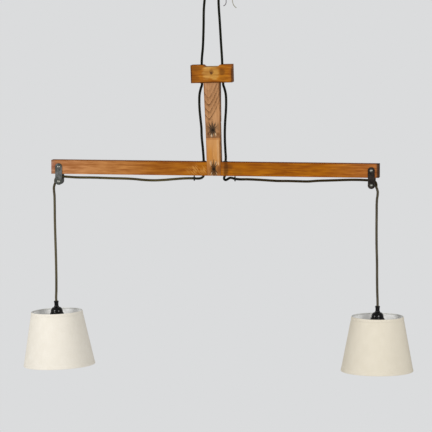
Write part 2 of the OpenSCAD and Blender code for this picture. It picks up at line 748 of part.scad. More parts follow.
// The spider: a hub on the barrel, three wire arms and the ring under the top hem.
module spider(side) {
    ring = wire_ring_r(top_wire_z);
    hub_mid = hub_low + hub_t / 2;
    rise = top_wire_z - hub_mid;
    hub_in = barrel_r + turn_gap;
    arm_from = collar_r + 1;
    slope = atan(rise / (ring - arm_from));
    color("#c8c8c4") on_lamp(side) {
        translate([0, 0, hub_low]) difference() {
            cylinder(r = collar_r + 2.5, h = hub_t);
            translate([0, 0, -eps]) cylinder(r = hub_in, h = hub_t + 2 * eps);
        }
        translate([0, 0, top_wire_z]) rotate_extrude() translate([ring, 0])
            circle(wire_r, $fn = 20);
        for (a = [90, 210, 330]) rotate([0, 0, a]) translate([arm_from, 0, hub_mid])
            rotate([0, 90 - slope, 0])
                cylinder(r = wire_r - 0.1, h = (ring - arm_from) / cos(slope), $fn = 20);
    }
}

// The ring that screws up the barrel and holds the spider against the collar.
module shade_ring(side) {
    color("#18181a") on_lamp(side) translate([0, 0, hub_low - ring_h]) rotate_extrude()
        polygon([[barrel_r + turn_gap, 0], [ring_r - 2.5, 0], [ring_r, 2],
            [ring_r, ring_h - 0.8], [ring_r - 0.8, ring_h], [barrel_r + turn_gap, ring_h]]);
}

// The wire that keeps the shade's bottom edge round.
module bottom_wire(side) {
    color("#c8c8c4") on_lamp(side) translate([0, 0, low_wire_z]) rotate_extrude()
        translate([wire_ring_r(low_wire_z), 0]) circle(wire_r, $fn = 20);
}

// The lined linen shade, with a proud hem band at its top and bottom.
module shade(side) {
    top_hem = rim_top - hem_h;
    low_hem = rim_low + hem_h;
    color("#efe6d3") on_lamp(side) rotate_extrude($fn = 128) polygon([
        [shade_r(rim_top) - shade_t, rim_top], [shade_r(rim_low) - shade_t, rim_low],
        [shade_r(rim_low) + hem_t, rim_low], [shade_r(low_hem) + hem_t, low_hem],
        [shade_r(low_hem), low_hem], [shade_r(top_hem), top_hem],
        [shade_r(top_hem) + hem_t, top_hem], [shade_r(rim_top) + hem_t, rim_top]]);
}

// The cords, and the bared cores at their upper ends.
module dark_cord(route) { color("#1d1b17") tube(route, cord_d, 10); }
module olive_cord(route) { color("#554b37") tube(route, cord_d, 10); }

ceiling_bracket();
clamp_bar();
clamp_screws();
dark_cord(upper_route(-1));  // left_upper_cord
dark_cord(upper_route(1));  // right_upper_cord
color("#5b545c") tube(dark_core_route, core_d, 8);  // dark_core
color("#8d8b76") tube(light_core_route, core_d, 8);  // light_core
color("#5b545c") tube(left_core_route, core_d, 8);  // left_core
beam();
lower_post();
upper_post();
cross_block();
color("#1f1d1c") at_crossing() wood_screw(cross_len);  // crossing_screw
color("#1f1d1c") at_lap() wood_screw(cross_len);  // lap_screw
color("#1f1d1c") at_block() wood_screw(block_screw_len);  // block_screw
beam_bushes();
block_bushes();
screw_eye(-1);  // left_screw_eye
screw_eye(1);  // right_screw_eye
olive_cord(frame_route(-1));  // left_frame_cord
olive_cord(frame_route(1));  // right_frame_cord
shackle_plate(-1, -shackle_front);  // left_front_plate
shackle_plate(-1, wood_t / 2);  // left_back_plate
shackle_bolt(-1);  // left_shackle_bolt
roller_pin(-1);  // left_roller_pin
shackle_nuts(-1);  // left_shackle_nuts
roller(-1);  // left_roller
shackle_plate(1, -shackle_front);  // right_front_plate
shackle_plate(1, wood_t / 2);  // right_back_plate
shackle_bolt(1);  // right_shackle_bolt
roller_pin(1);  // right_roller_pin
shackle_nuts(1);  // right_shackle_nuts
roller(1);  // right_roller
olive_cord(drop_route(-1));  // left_drop_cord
cord_grip(-1);  // left_cord_grip
holder_cap(-1);  // left_holder_cap
contact_block(-1);  // left_contact_block
terminal_screws(-1);  // left_terminal_screws
holder_body(-1);  // left_holder_body
thread_shell(-1);  // left_thread_shell
centre_contact(-1);  // left_centre_contact
spider(-1);  // left_spider
shade_ring(-1);  // left_shade_ring
bottom_wire(-1);  // left_bottom_wire
shade(-1);  // left_shade
olive_cord(drop_route(1));  // right_drop_cord
cord_grip(1);  // right_cord_grip
holder_cap(1);  // right_holder_cap
contact_block(1);  // right_contact_block
terminal_screws(1);  // right_terminal_screws
holder_body(1);  // right_holder_body
thread_shell(1);  // right_thread_shell
centre_contact(1);  // right_centre_contact
spider(1);  // right_spider
shade_ring(1);  // right_shade_ring
bottom_wire(1);  // right_bottom_wire
shade(1);  // right_shade
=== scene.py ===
# %% [markdown]
# # An extendable pendant light
# An oak T hangs on two textile cords. Each cord runs down through it, along under the beam and over a
# roller to a lamp with a linen shade. The CAD frame holds every solid at its real size, so this file
# loads it first and then dresses it: one cell for each piece or finish.

# %% The frame, and the tools that the other cells use
import json
import math

import bmesh
import bpy
import numpy as np
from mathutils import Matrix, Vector


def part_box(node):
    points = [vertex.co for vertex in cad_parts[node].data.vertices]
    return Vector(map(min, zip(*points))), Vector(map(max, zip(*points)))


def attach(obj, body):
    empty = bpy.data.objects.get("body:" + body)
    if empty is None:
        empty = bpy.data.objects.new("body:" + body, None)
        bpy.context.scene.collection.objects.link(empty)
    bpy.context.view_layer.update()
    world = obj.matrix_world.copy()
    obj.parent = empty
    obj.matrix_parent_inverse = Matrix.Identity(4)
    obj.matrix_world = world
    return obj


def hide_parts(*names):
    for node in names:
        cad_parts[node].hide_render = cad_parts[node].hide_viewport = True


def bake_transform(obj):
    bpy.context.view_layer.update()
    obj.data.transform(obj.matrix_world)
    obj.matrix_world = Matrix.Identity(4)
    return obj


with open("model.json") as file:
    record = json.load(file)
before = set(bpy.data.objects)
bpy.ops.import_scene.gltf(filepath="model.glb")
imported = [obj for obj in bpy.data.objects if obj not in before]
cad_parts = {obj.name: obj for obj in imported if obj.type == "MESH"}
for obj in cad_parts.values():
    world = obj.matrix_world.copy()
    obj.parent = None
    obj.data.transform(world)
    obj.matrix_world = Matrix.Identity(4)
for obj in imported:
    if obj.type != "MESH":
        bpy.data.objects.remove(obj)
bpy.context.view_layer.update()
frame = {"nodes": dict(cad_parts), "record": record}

MM = 0.001

# %% [markdown]
# ## The camera
# The light was photographed from far off with a long lens, a little above the beam and a little to the
# right of square. A long lens keeps the beam's two edges almost parallel, so the camera stands 11 m away.

# %% The camera
scene = bpy.context.scene
scene.view_settings.view_transform = "Standard"
camera_data = bpy.data.cameras.new("front_view")
camera_data.lens = 250
camera_data.sensor_width = 36
camera_data.clip_end = 60
camera = bpy.data.objects.new("front_view", camera_data)
scene.collection.objects.link(camera)
stand = Vector((1.5314, -10.782, 0.323))
aim = Vector((0.0212, -0.0364, -0.8366))
camera.location = stand
camera.rotation_euler = (aim - stand).to_track_quat("-Z", "Y").to_euler()
scene.camera = camera
print("camera", round((aim - stand).length, 2), "m from its aim")

# %% [markdown]
# ## Meshes from arrays
# Nearly every new piece is a grid of points: a circle carried along a path, or a profile turned round an
# axis. numpy works the whole grid out at once, and one function puts any number of such grids into one
# mesh, with the UV map that its cloth or braid follows.

# %% Faces of a grid
def once_round(count):
    """count angles that go once round a circle, without the last, which would double the first."""
    return np.linspace(0, 2 * math.pi, count, endpoint=False)


def grid_faces(rows, columns, close_rows):
    """Quads of a grid whose point (i, j) has the number i * columns + j. Each quad joins (i, j), (i, j + 1),
    (i + 1, j + 1) and (i + 1, j). The last column joins the first, and so does the last row if close_rows."""
    i = np.arange(rows if close_rows else rows - 1)
    i, j = (a.ravel() for a in np.meshgrid(i, np.arange(columns), indexing="ij"))
    corners = [(i, j), (i, j + 1), (i + 1, j + 1), (i + 1, j)]
    faces = np.stack([a % rows * columns + b % columns for a, b in corners], axis=-1)
    return faces, corners


def sheet_of(points, u, v, close_rows=False, caps=False):
    """One grid as (points, faces, uv). u and v give each column's and row's place on the UV map, with one
    value more than there are lines where the grid is closed. caps close both ends with flat faces."""
    rows, columns = points.shape[:2]
    quads, corners = grid_faces(rows, columns, close_rows)
    uv = np.stack([np.stack([u[b], v[a]], axis=-1) for a, b in corners], axis=1)
    faces = [(quads, uv)]
    if caps:
        ring = np.arange(columns)
        for rim, row in ((ring[::-1], 0), (ring + (rows - 1) * columns, -1)):
            faces.append((rim[None, :], np.stack([u[ring], np.full(columns, v[row])], axis=-1)[None]))
    return points.reshape(-1, 3), faces


# %% One mesh from several grids
def mesh_from(name, grids):
    """Joins the grids' points and faces into one mesh, merges doubled points, as on a pole, and turns the
    faces outwards."""
    points = np.concatenate([p for p, _ in grids])
    starts = np.cumsum([0] + [len(p) for p, _ in grids[:-1]])
    faces = [(f + s, uv) for (_, group), s in zip(grids, starts) for f, uv in group]
    loops = np.concatenate([f.ravel() for f, _ in faces]).astype(np.int32)
    sizes = np.concatenate([np.full(len(f), f.shape[1]) for f, _ in faces])
    mesh = bpy.data.meshes.new(name)
    mesh.vertices.add(len(points))
    mesh.vertices.foreach_set("co", points.astype(np.float32).ravel())
    mesh.loops.add(len(loops))
    mesh.loops.foreach_set("vertex_index", loops)
    mesh.polygons.add(len(sizes))
    mesh.polygons.foreach_set("loop_start", (np.cumsum(sizes) - sizes).astype(np.int32))
    mesh.update(calc_edges=True)
    layer = mesh.uv_layers.new(name="UVMap")
    layer.uv.foreach_set("vector", np.concatenate([uv.reshape(-1, 2) for _, uv in faces])
                         .astype(np.float32).ravel())
    shape = bmesh.new()
    shape.from_mesh(mesh)
    bmesh.ops.remove_doubles(shape, verts=shape.verts, dist=1e-7)
    bmesh.ops.recalc_face_normals(shape, faces=shape.faces)
    shape.to_mesh(mesh)
    shape.free()
    return mesh


def add_piece(name, mesh, material, body, crease=35):
    """Puts a mesh into the scene with its finish, smooth but for edges sharper than crease degrees."""
    piece = bpy.data.objects.new(name, mesh)
    scene.collection.objects.link(piece)
    mesh.materials.clear()
    mesh.materials.append(material)
    mesh.shade_smooth()
    mesh.set_sharp_from_angle(angle=math.radians(crease))
    if body:
        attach(piece, body)
    return piece


# %% [markdown]
# ## Colours and nodes
# Each finish is a tree of nodes. Three small classes keep the trees short to write: a Tree adds nodes, a
# Finish is the tree of one material, and what comes out of a node is a Value. Plain arithmetic on a Value
# adds Math nodes, so that a formula reads as a formula.

# %% Screen colours
def rgb(red, green, blue):
    """A screen colour of 0 to 255 as the linear colour that shaders use: c / 12.92 near black, and
    ((c + 0.055) / 1.055) ** 2.4 above."""
    c = np.array([red, green, blue]) / 255
    linear = np.where(c < 0.04045, c / 12.92, ((c + 0.055) / 1.055) ** 2.4)
    return (*linear.tolist(), 1.0)


# %% What comes out of a node
class Value:
    """What comes out of a node: a number, a colour or a point. Arithmetic on numbers adds Math nodes."""

    def __init__(self, tree, socket):
        self.tree, self.socket = tree, socket

    def __add__(self, other):
        return self.tree.math("ADD", self, other)

    def __sub__(self, other):
        return self.tree.math("SUBTRACT", self, other)

    def __rsub__(self, other):
        return self.tree.math("SUBTRACT", other, self)

    def __mul__(self, other):
        return self.tree.math("MULTIPLY", self, other)

    def __truediv__(self, other):
        return self.tree.math("DIVIDE", self, other)

    def __pow__(self, other):
        return self.tree.math("POWER", self, other)

    def __abs__(self):
        return self.tree.math("ABSOLUTE", self)


# %% A tree of nodes
class Tree:
    """The node tree of a material or a world."""

    def __init__(self, owner):
        owner.use_nodes = True
        self.nodes = owner.node_tree.nodes
        self.link = owner.node_tree.links.new
        self.nodes.clear()

    def add(self, kind, inputs=(), output=0, **settings):
        """One node, with each input linked to a Value or set to a constant."""
        node = self.nodes.new("ShaderNode" + kind)
        for key, value in settings.items():
            setattr(node, key, value)
        for key, value in dict(inputs).items():
            if isinstance(value, Value):
                self.link(value.socket, node.inputs[key])
            else:
                node.inputs[key].default_value = value
        return Value(self, node.outputs[output])

    def end(self, kind, shader):
        """The tree's output node, which takes in the shader."""
        self.link(shader.socket, self.nodes.new("ShaderNode" + kind).inputs["Surface"])

    def math(self, operation, a, b=0.0):
        """One Math node. An operation on one number leaves b unused."""
        return self.add("Math", {0: a, 1: b}, operation=operation)


# %% The tree of one material
class Finish(Tree):
    """A material's node tree, with a method for each kind of node that the finishes use."""

    def __init__(self, name):
        self.material = bpy.data.materials.new(name)
        super().__init__(self.material)
        self.spot = self.add("TexCoord", output="Object")

    def split(self, vector):
        node = self.add("SeparateXYZ", {0: vector}).socket.node
        return [Value(self, socket) for socket in node.outputs]

    def place(self, vector, scale=(1, 1, 1), centre=(0, 0, 0), turn=(0, 0, 0)):
        """Moves centre to the origin, turns back by turn and then multiplies by scale."""
        moved = self.add("Mapping", {"Vector": vector, "Location": centre, "Rotation": turn},
                         vector_type="TEXTURE")
        return self.add("VectorMath", {0: moved, 1: scale}, operation="MULTIPLY")

    def noise(self, vector, scale=1.0, detail=3.0, roughness=0.5):
        return self.add("TexNoise", {"Vector": vector, "Scale": scale, "Detail": detail,
                                     "Roughness": roughness})

    def range(self, value, low, high, to_low=0.0, to_high=1.0, smooth=False):
        return self.add("MapRange", {"Value": value, "From Min": low, "From Max": high,
                                     "To Min": to_low, "To Max": to_high},
                        interpolation_type="SMOOTHSTEP" if smooth else "LINEAR")

    def distance(self, a, b):
        """sqrt(a^2 + b^2), the distance of a point that lies a and b away along two axes."""
        return self.math("SQRT", a * a + b * b)

    def ellipse(self, x, z, at_x, at_z, rx, rz):
        """The distance from an ellipse's middle, measured so that it is 1 on the rim."""
        return self.distance((x - at_x) * (1 / rx), (z - at_z) * (1 / rz))

    def mix(self, share, a, b, blend="MIX"):
        return self.add("Mix", {0: share, 6: a, 7: b}, output=2, data_type="RGBA", blend_type=blend)

    def ramp(self, value, stops):
        """A colour for each value, from (place, colour) stops."""
        colour = self.add("ValToRGB", {0: value})
        points = colour.socket.node.color_ramp.elements
        for _ in stops[2:]:
            points.new(0.5)
        for point, (at, tone) in zip(points, stops):
            point.position = at
            point.color = tone
        return colour

    def bump(self, height, distance, strength=1.0):
        return self.add("Bump", {"Height": height, "Distance": distance, "Strength": strength})

    def close(self, colour, roughness, normal=None, **constants):
        """The surface shader and the output. Constants sit on the shader's own sockets."""
        inputs = {"Base Color": colour, "Roughness": roughness}
        if normal is not None:
            inputs["Normal"] = normal
        inputs.update({key.replace("_", " "): value for key, value in constants.items()})
        self.end("OutputMaterial", self.add("BsdfPrincipled", inputs))
        return self.material


# %% [markdown]
# ## A smooth line through given points
# A cord is stiff enough to bend smoothly, so the route's points are joined by cubic pieces that share
# their direction at every point. The line is then cut into even steps, which keeps the braid even too.

# %% Paths and tubes
def along_path(path):
    """How far along the path each of its points is."""
    return np.append(0, np.cumsum(np.linalg.norm(np.diff(path, axis=0), axis=1)))


def smooth_path(points, step):
    """A cubic line through points, cut into even steps. Between points a and b, h apart, it is the Hermite
    cubic (2t^3 - 3t^2 + 1) a + (t^3 - 2t^2 + t) h m + (-2t^3 + 3t^2) b + (t^3 - t^2) h n, where m and n are
    the slopes there, each weighted from the pieces on both sides."""
    points = np.asarray(points, float)
    gap = np.linalg.norm(np.diff(points, axis=0), axis=1)
    slope = np.diff(points, axis=0) / gap[:, None]
    inner = (gap[1:, None] * slope[:-1] + gap[:-1, None] * slope[1:]) / (gap[1:] + gap[:-1])[:, None]
    slopes = np.vstack([slope[:1], inner, slope[-1:]])
    t = np.linspace(0, 1, 24, endpoint=False)[None, :, None]
    h = gap[:, None, None]
    a, b = points[:-1, None], points[1:, None]
    m, n = slopes[:-1, None], slopes[1:, None]
    line = ((2 * t**3 - 3 * t**2 + 1) * a + (t**3 - 2 * t**2 + t) * h * m
            + (3 * t**2 - 2 * t**3) * b + (t**3 - t**2) * h * n).reshape(-1, 3)
    line = np.vstack([line, points[-1:]])
    along = along_path(line)
    even = np.linspace(0, along[-1], max(2, int(round(along[-1] / step)) + 1))
    return np.stack([np.interp(even, along, line[:, k]) for k in range(3)], axis=1)


def tube(path, radius, sides=20, across=(0, 1, 0), close=False):
    """A circle of radius r carried along the path: path + r cos(u) side + r sin(u) other, where side and
    other are square to the path's direction. radius may be one value for each point of the path. An open
    tube gets flat ends."""
    ahead = np.roll(path, -1, axis=0) - np.roll(path, 1, axis=0)
    if not close:
        ahead[0], ahead[-1] = path[1] - path[0], path[-1] - path[-2]
    ahead = ahead / np.linalg.norm(ahead, axis=1, keepdims=True)
    side = np.cross(np.asarray(across, float), ahead)
    side = side / np.linalg.norm(side, axis=1, keepdims=True)
    other = np.cross(ahead, side)
    turn = once_round(sides)[None, :, None]
    r = np.broadcast_to(radius, len(path))[:, None, None]
    points = path[:, None] + r * (np.cos(turn) * side[:, None] + np.sin(turn) * other[:, None])
    along = along_path(path)
    if close:
        along = np.append(along, along[-1] + np.linalg.norm(path[0] - path[-1]))
    return sheet_of(points, np.linspace(0, 1, sides + 1), along, close_rows=close, caps=not close)


# %% [markdown]
# ## The textile cords
# A woven sheath over round flex: two families of yarns wind round it, one to the left and one to the
# right, over and under each other. The cord lies over the CAD solid of its stretch, from the clamp to the
# block, through the frame, and from the roller down to the lamp. The pattern is drawn from the cord's own
# UV map, once round and metres along, so that it follows every bend.

# %% The routes, in millimetres, as (x, z) points on the cords' middle lines
UPPER = {
    "left": [(-25, -14), (-25, -42), (-28.3, -85.1), (-29.4, -150.3), (-31.8, -220.5), (-36.2, -282.7),
             (-36.1, -288.6)],
    "right": [(25, -14), (25, -42), (26, -75.1), (29.7, -130.2), (34.2, -205.4), (38.7, -280.5),
              (38.9, -286.4)],
}
THROUGH = {
    "left": [(-36.1, -288.7), (-36, -292.7), (-35.8, -353.7), (-35.5, -361.7), (-39.5, -374.2),
             (-44.2, -396.2), (-45.2, -422.1), (-44.2, -450.1), (-40.5, -490.1), (-37.6, -519.1),
             (-36.6, -548.1), (-32, -597), (-29, -641.5), (-29, -689.5), (-31, -696), (-36, -700.8),
             (-42, -703), (-50, -704), (-64, -703.5), (-106, -704.6), (-141, -707.6), (-178, -711),
             (-214, -712.8), (-251, -711.8), (-288, -708.8), (-324, -707.5), (-361, -707.2),
             (-434, -705.7), (-507, -705.4), (-545, -703.4), (-563.5, -702.5), (-569.8, -703.8),
             (-575.2, -707.3), (-578.7, -712.7), (-580, -719), (-580, -722)],
    "right": [(38.9, -286.5), (39, -290.5), (42.2, -351.5), (42.4, -359.5), (46.4, -372), (51.4, -392),
              (53.3, -425), (52.4, -455), (49.5, -500), (48.5, -550), (50.5, -600), (52, -630),
              (51, -641.5), (51, -681.5), (50, -690), (47, -696.5), (46, -702.5), (46.7, -705.3),
              (48.8, -707.3), (51.5, -708), (54.3, -707.3), (59, -704.5), (64, -701.6), (70, -699.8),
              (77, -701), (86, -703.5), (97, -704.6), (133, -704.6), (170, -705.6), (206, -707.4),
              (243, -709), (280, -708.8), (316, -709.2), (353, -709.4), (389, -706.6), (426, -705),
              (463, -703.4), (499, -701.8), (536, -701.2), (565, -701.9), (585.5, -702.5),
              (591.8, -703.8), (597.2, -707.3), (600.7, -712.7), (602, -719), (602, -722)],
}
DROP = {
    "left": [(-580, -722.1), (-580, -727), (-582.6, -733), (-585.2, -743), (-585, -755), (-583.4, -773),
             (-582.8, -800), (-582.4, -864), (-581.2, -920), (-579.8, -974), (-578.7, -1030),
             (-578.2, -1085), (-578.6, -1130), (-579.4, -1155.5), (-579, -1163.5), (-578.5, -1173.5)],
    "right": [(602, -722.1), (602, -727), (604.4, -733), (607, -743), (606.8, -755), (605, -768),
              (604, -784), (603.8, -820), (603.6, -880), (604.2, -940), (606, -1000), (606.6, -1060),
              (607.6, -1110), (609, -1152), (609, -1160), (609, -1170)],
}
CORD_D = 9 * MM


def in_plane(route, y):
    """The route's points in metres, at the depth y."""
    return np.array([(x, y, z) for x, z in route]) * MM


# %% The braid
YARNS, YARN_PITCH = 8.0, 0.009


def braid(name, near, far=None, change=(0.0, 1.0)):
    """Over and under yarns. With u once round the cord and v metres along it, the two families of yarns
    are the lines a = 8u + v/p and b = 8u - v/p of whole numbers, with p the YARN_PITCH. A yarn's height is
    |sin(pi a)| where sin(pi a) sin(pi b) is above zero and |sin(pi b)| elsewhere. near and far are (light,
    mid, dark) colours, and the cord goes from one to the other over the lengths in change. The dark colour
    is painted shade in the low ground between yarns."""
    finish = Finish(name)
    u, v, _ = finish.split(finish.add("UVMap", output="UV"))
    wind = v * (1 / YARN_PITCH)
    a = finish.math("SINE", (u * YARNS + wind) * math.pi)
    b = finish.math("SINE", (u * YARNS - wind) * math.pi)
    over = finish.math("GREATER_THAN", a * b, 0.0)
    yarn = over * abs(a) + (1.0 - over) * abs(b)
    fibre = finish.noise(finish.place(finish.spot, (2600, 2600, 900)), detail=2.0)
    fade = finish.noise(finish.place(finish.spot, (18, 18, 18)), detail=3.0)
    light, mid, dark = near
    if far is not None:
        along = finish.range(v, change[0], change[1], smooth=True)
        light, mid, dark = (finish.mix(along, p, q) for p, q in zip(near, far))
    colour = finish.mix(finish.range(fade, 0.35, 0.65, smooth=True), mid, light)
    # Painted shade: where the yarns sink, the cord takes the dark colour.
    colour = finish.mix(finish.range(yarn, 0.0, 0.75), dark, colour)
    colour = finish.mix(finish.range(fibre, 0.62, 0.8, 0.0, 0.35), colour, light)
    return finish.close(colour, 0.9, finish.bump(yarn + fibre * 0.25, 0.0005, 0.7), Specular_IOR_Level=0.0)


BLACK_YARN = (rgb(38, 38, 30), rgb(28, 29, 23), rgb(12, 12, 10))
OLIVE_YARN = (rgb(92, 84, 56), rgb(74, 67, 43), rgb(34, 30, 20))
UMBER_YARN = (rgb(68, 56, 34), rgb(50, 42, 26), rgb(24, 20, 13))
DROP_YARNS = {
    "left": (rgb(102, 95, 74), rgb(84, 77, 60), rgb(40, 36, 28)),
    "right": (rgb(97, 90, 74), rgb(80, 74, 61), rgb(40, 36, 30)),
}
dark_braid = braid("near_black_braid", BLACK_YARN)
routed_braids = {
    "left": braid("black_to_olive_braid", BLACK_YARN, OLIVE_YARN, (0.42, 0.47)),
    "right": braid("black_to_umber_braid", BLACK_YARN, UMBER_YARN, (0.46, 0.53)),
}
drop_braids = {side: braid(f"{side}_drop_braid", yarns) for side, yarns in DROP_YARNS.items()}
print("braids:", [m.name for m in (dark_braid, *routed_braids.values(), *drop_braids.values())])

# %% The cords
cord_lengths = {}


def add_cord(name, route, node, material, slot, diameter=CORD_D, y=0.0,
             sides=20):
    """A cord's tube on its smooth path, whose real length goes into cord_lengths."""
    path = smooth_path(in_plane(route, y), 0.002)
    piece = add_piece(name, mesh_from(name, [tube(path, diameter / 2, sides)]), material, None)
    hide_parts(node)
    length = float(along_path(path)[-1])
    cord_lengths[name] = round(length, 3)
    return piece


for side in ("left", "right"):
    cord = add_cord(f"{side}_hanging_cord", UPPER[side], f"{side}_upper_cord", dark_braid, "dark_cord")
    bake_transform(cord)
    cord = add_cord(f"{side}_routed_cord", THROUGH[side], f"{side}_frame_cord", routed_braids[side],
                    "olive_cord")
    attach(cord, "frame")
    cord = add_cord(f"{side}_lamp_cord", DROP[side], f"{side}_drop_cord", drop_braids[side], "olive_cord")
    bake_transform(cord)
print("cord lengths in metres:", cord_lengths)

# %% [markdown]
# ## Bared cores at the ceiling
# Where the sheath is stripped back, the cord's insulated cores stand out of it and hang over. The dark and
# the light one on the right show at the top of the photograph.

# %% The cores
CORES = {
    "dark_core": (1.6, [(26, -13.9), (26, -12), (29, -9), (34, -8), (43, -11), (50, -20), (52.5, -38),
                        (53, -56), (52, -66), (48.5, -72), (43, -75)]),
    "light_core": (-1.8, [(24, -13.9), (24, -12), (26, -8), (31, -6), (50, -6), (63, -9), (72, -20),
                          (76, -38), (77, -60), (80, -70), (85, -77), (91, -82)]),
    "left_core": (1.6, [(-26, -13.9), (-26, -12), (-29, -8.5), (-36, -7), (-45, -10), (-51, -20),
                        (-52, -34)]),
}


def insulation(name, colour, dusty):
    """Smooth plastic with a little dust."""
    finish = Finish(name)
    dust = finish.noise(finish.spot, 260.0, 3.0)
    tint = finish.mix(finish.range(dust, 0.5, 0.75, 0.0, 0.6), colour, dusty)
    return finish.close(tint, finish.range(dust, 0.3, 0.7, 0.38, 0.6), finish.bump(dust, 0.0001, 0.3))


core_finishes = {
    "dark_core": insulation("dark_insulation", rgb(92, 84, 90), rgb(128, 122, 124)),
    "light_core": insulation("light_insulation", rgb(150, 147, 130), rgb(178, 174, 160)),
    "left_core": insulation("left_insulation", rgb(92, 84, 90), rgb(128, 122, 124)),
}
for name, (y, route) in CORES.items():
    core = add_cord(f"{name}_wire", route, name, core_finishes[name],
                    "light_core" if name == "light_core" else "dark_core", diameter=3 * MM, y=y,
                    sides=14)
    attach(core, "ceiling")
print("cores", list(CORES))

# %% [markdown]
# ## Oak
# The timbers are sawn oak. Growth rings are nearly straight cylinders round a pith that lies outside the
# piece, so the same rings draw straight lines on one face and arches on another. Over them come long
# fibres, short dark pores and broad changes of tone. The pattern is worked out in each timber's own
# direction: its grain runs along the first axis of a turned coordinate.

# %% The oak finish
GRAIN_UP = -math.pi / 2
LEAN = math.radians(-1.6)
CROSSING = (0.011, 0.0, -0.6665)
DEEPER = (0.50, 0.37, 0.24, 1.0)
STAINED_FACE = -0.0185


def oak(name, turn, tones, half, pith, slope, spacing, shares, arches=None, flecks=None, washes=(),
        stains=()):
    """Oak whose grain runs along the first axis of its own turned coordinates, which start at the crossing
    of beam and post. tones are (x, colour) stops along the grain. Rings lie at the distance R =
    sqrt((y - py - k x)^2 + (z - pz)^2) from the pith, with k the slope between the pith and the timber, and
    fibres, streaks and blotches are noise stretched along x. shares say how much rings, fibres, streaks and
    blotches deepen the colour, and so do the edges at z = +half and -half. washes are (x, z, rx, rz,
    colour, share): soft ellipses of another colour. arches, flecks and stains are explained where they are
    drawn."""
    finish = Finish(name)
    spot = finish.place(finish.spot, centre=CROSSING, turn=turn)
    x, y, z = finish.split(spot)
    low, high = tones[0][0], tones[-1][0]
    colour = finish.ramp(finish.range(x, low, high), [((at - low) / (high - low), c) for at, c in tones])
    fray = finish.noise(finish.place(spot, (60, 160, 160)), detail=3.0)
    for at_x, at_z, rx, rz, tint, strength in washes:
        away = finish.ellipse(x, z, at_x, at_z, rx, rz) + (fray - 0.5) * 0.9
        colour = finish.mix(finish.range(away, 0.45, 1.1, strength, 0.0, smooth=True), colour, tint)
    drift = finish.noise(finish.place(spot, (2.5, 12, 12)), detail=2.0)
    drift = (drift - 0.5) * 0.012
    from_pith = finish.distance(y - pith[0] - x * slope, z - pith[1])
    ring = finish.math("FRACT", (from_pith + drift) / spacing)
    fibre = finish.noise(finish.place(spot, (7, 420, 420)), detail=4.0, roughness=0.6)
    streak = finish.noise(finish.place(spot, (14, 150, 150)), detail=3.0, roughness=0.6)
    tone = finish.noise(finish.place(spot, (9, 40, 40)), detail=3.0)
    share = ring**2.2 * shares[0] + finish.range(fibre, 0.32, 0.68, 0.0, shares[1])
    for pattern, most in ((streak, shares[2]), (tone, shares[3])):
        share = share + finish.range(pattern, 0.34, 0.66, 0.0, most)
    share = share + finish.range(abs(z), half - 0.004, half - 0.0005, 0.0, 0.4, smooth=True)
    colour = finish.mix(share, colour, finish.mix(1.0, colour, DEEPER, "MULTIPLY"))
    if arches:
        colour = finish.mix(arch_lines(finish, x, z, drift, **arches), colour, rgb(98, 64, 36))
    if flecks:
        colour = ray_flecks(finish, colour, spot, x, z, **flecks)
    pore = finish.noise(finish.place(spot, (55, 1700, 1700)), detail=2.0)
    pore = finish.range(pore, 0.6, 0.7, smooth=True) * finish.range(ring, 0.0, 0.35, 1.0, 0.25)
    colour = finish.mix(pore * 0.3, colour, rgb(62, 34, 12))
    for stain in stains:
        colour = iron_star(finish, colour, x, y, z, **stain)
    rough = finish.range(fibre + pore, 0.3, 1.4, 0.6, 0.85)
    return finish.close(colour, rough, finish.bump(fibre * 0.35 - pore, 0.00025, 0.6),
                        Specular_IOR_Level=0.08)


# %% What lies over the grain
def arch_lines(finish, x, z, drift, middle, low, high, spacing, strength):
    """Pointed arches where the saw cut rings at a slant: dark lines at whole numbers of q = (x - s) / p,
    with s = 1.2 sqrt((z - m)^2 + 0.003^2) + 16 (z - m)^2, faded in and out between two heights. Noise
    breaks the lines."""
    off = z - middle
    square = off * off
    rise = finish.math("SQRT", square + 0.003**2) * 1.2 + square * 16.0
    q = x - rise + drift * 1.8
    strong = finish.math("FRACT", q / spacing)**2.0
    weak = finish.math("FRACT", q / (spacing / 3))**2.0
    broken = finish.noise(finish.add("CombineXYZ", {0: x, 1: z}), 130.0, 2.0)
    strong = strong * finish.range(broken, 0.35, 0.6, 0.35, 1.0, smooth=True)
    fade_in = finish.range(q, low, low + 0.015, smooth=True)
    fade_out = finish.range(q, high - 0.06, high, 1.0, 0.3, smooth=True)
    return (strong * strength + weak * (0.25 * strength)) * (fade_in * fade_out)


def ray_flecks(finish, colour, spot, x, z, at_x, at_z, rx, rz, tint):
    """Slanting flecks of ray cells in a soft ellipse: noise drawn out along a line at -40 degrees, cut off
    sharply so that pale strokes are left."""
    strokes = finish.noise(finish.place(spot, (300, 1, 34), turn=(0, math.radians(-40), 0)), detail=1.0)
    strokes = finish.range(strokes, 0.47, 0.58, smooth=True)
    here = finish.range(finish.ellipse(x, z, at_x, at_z, rx, rz), 0.5, 1.1, 0.5, 0.0, smooth=True)
    return finish.mix(strokes * here, colour, tint)


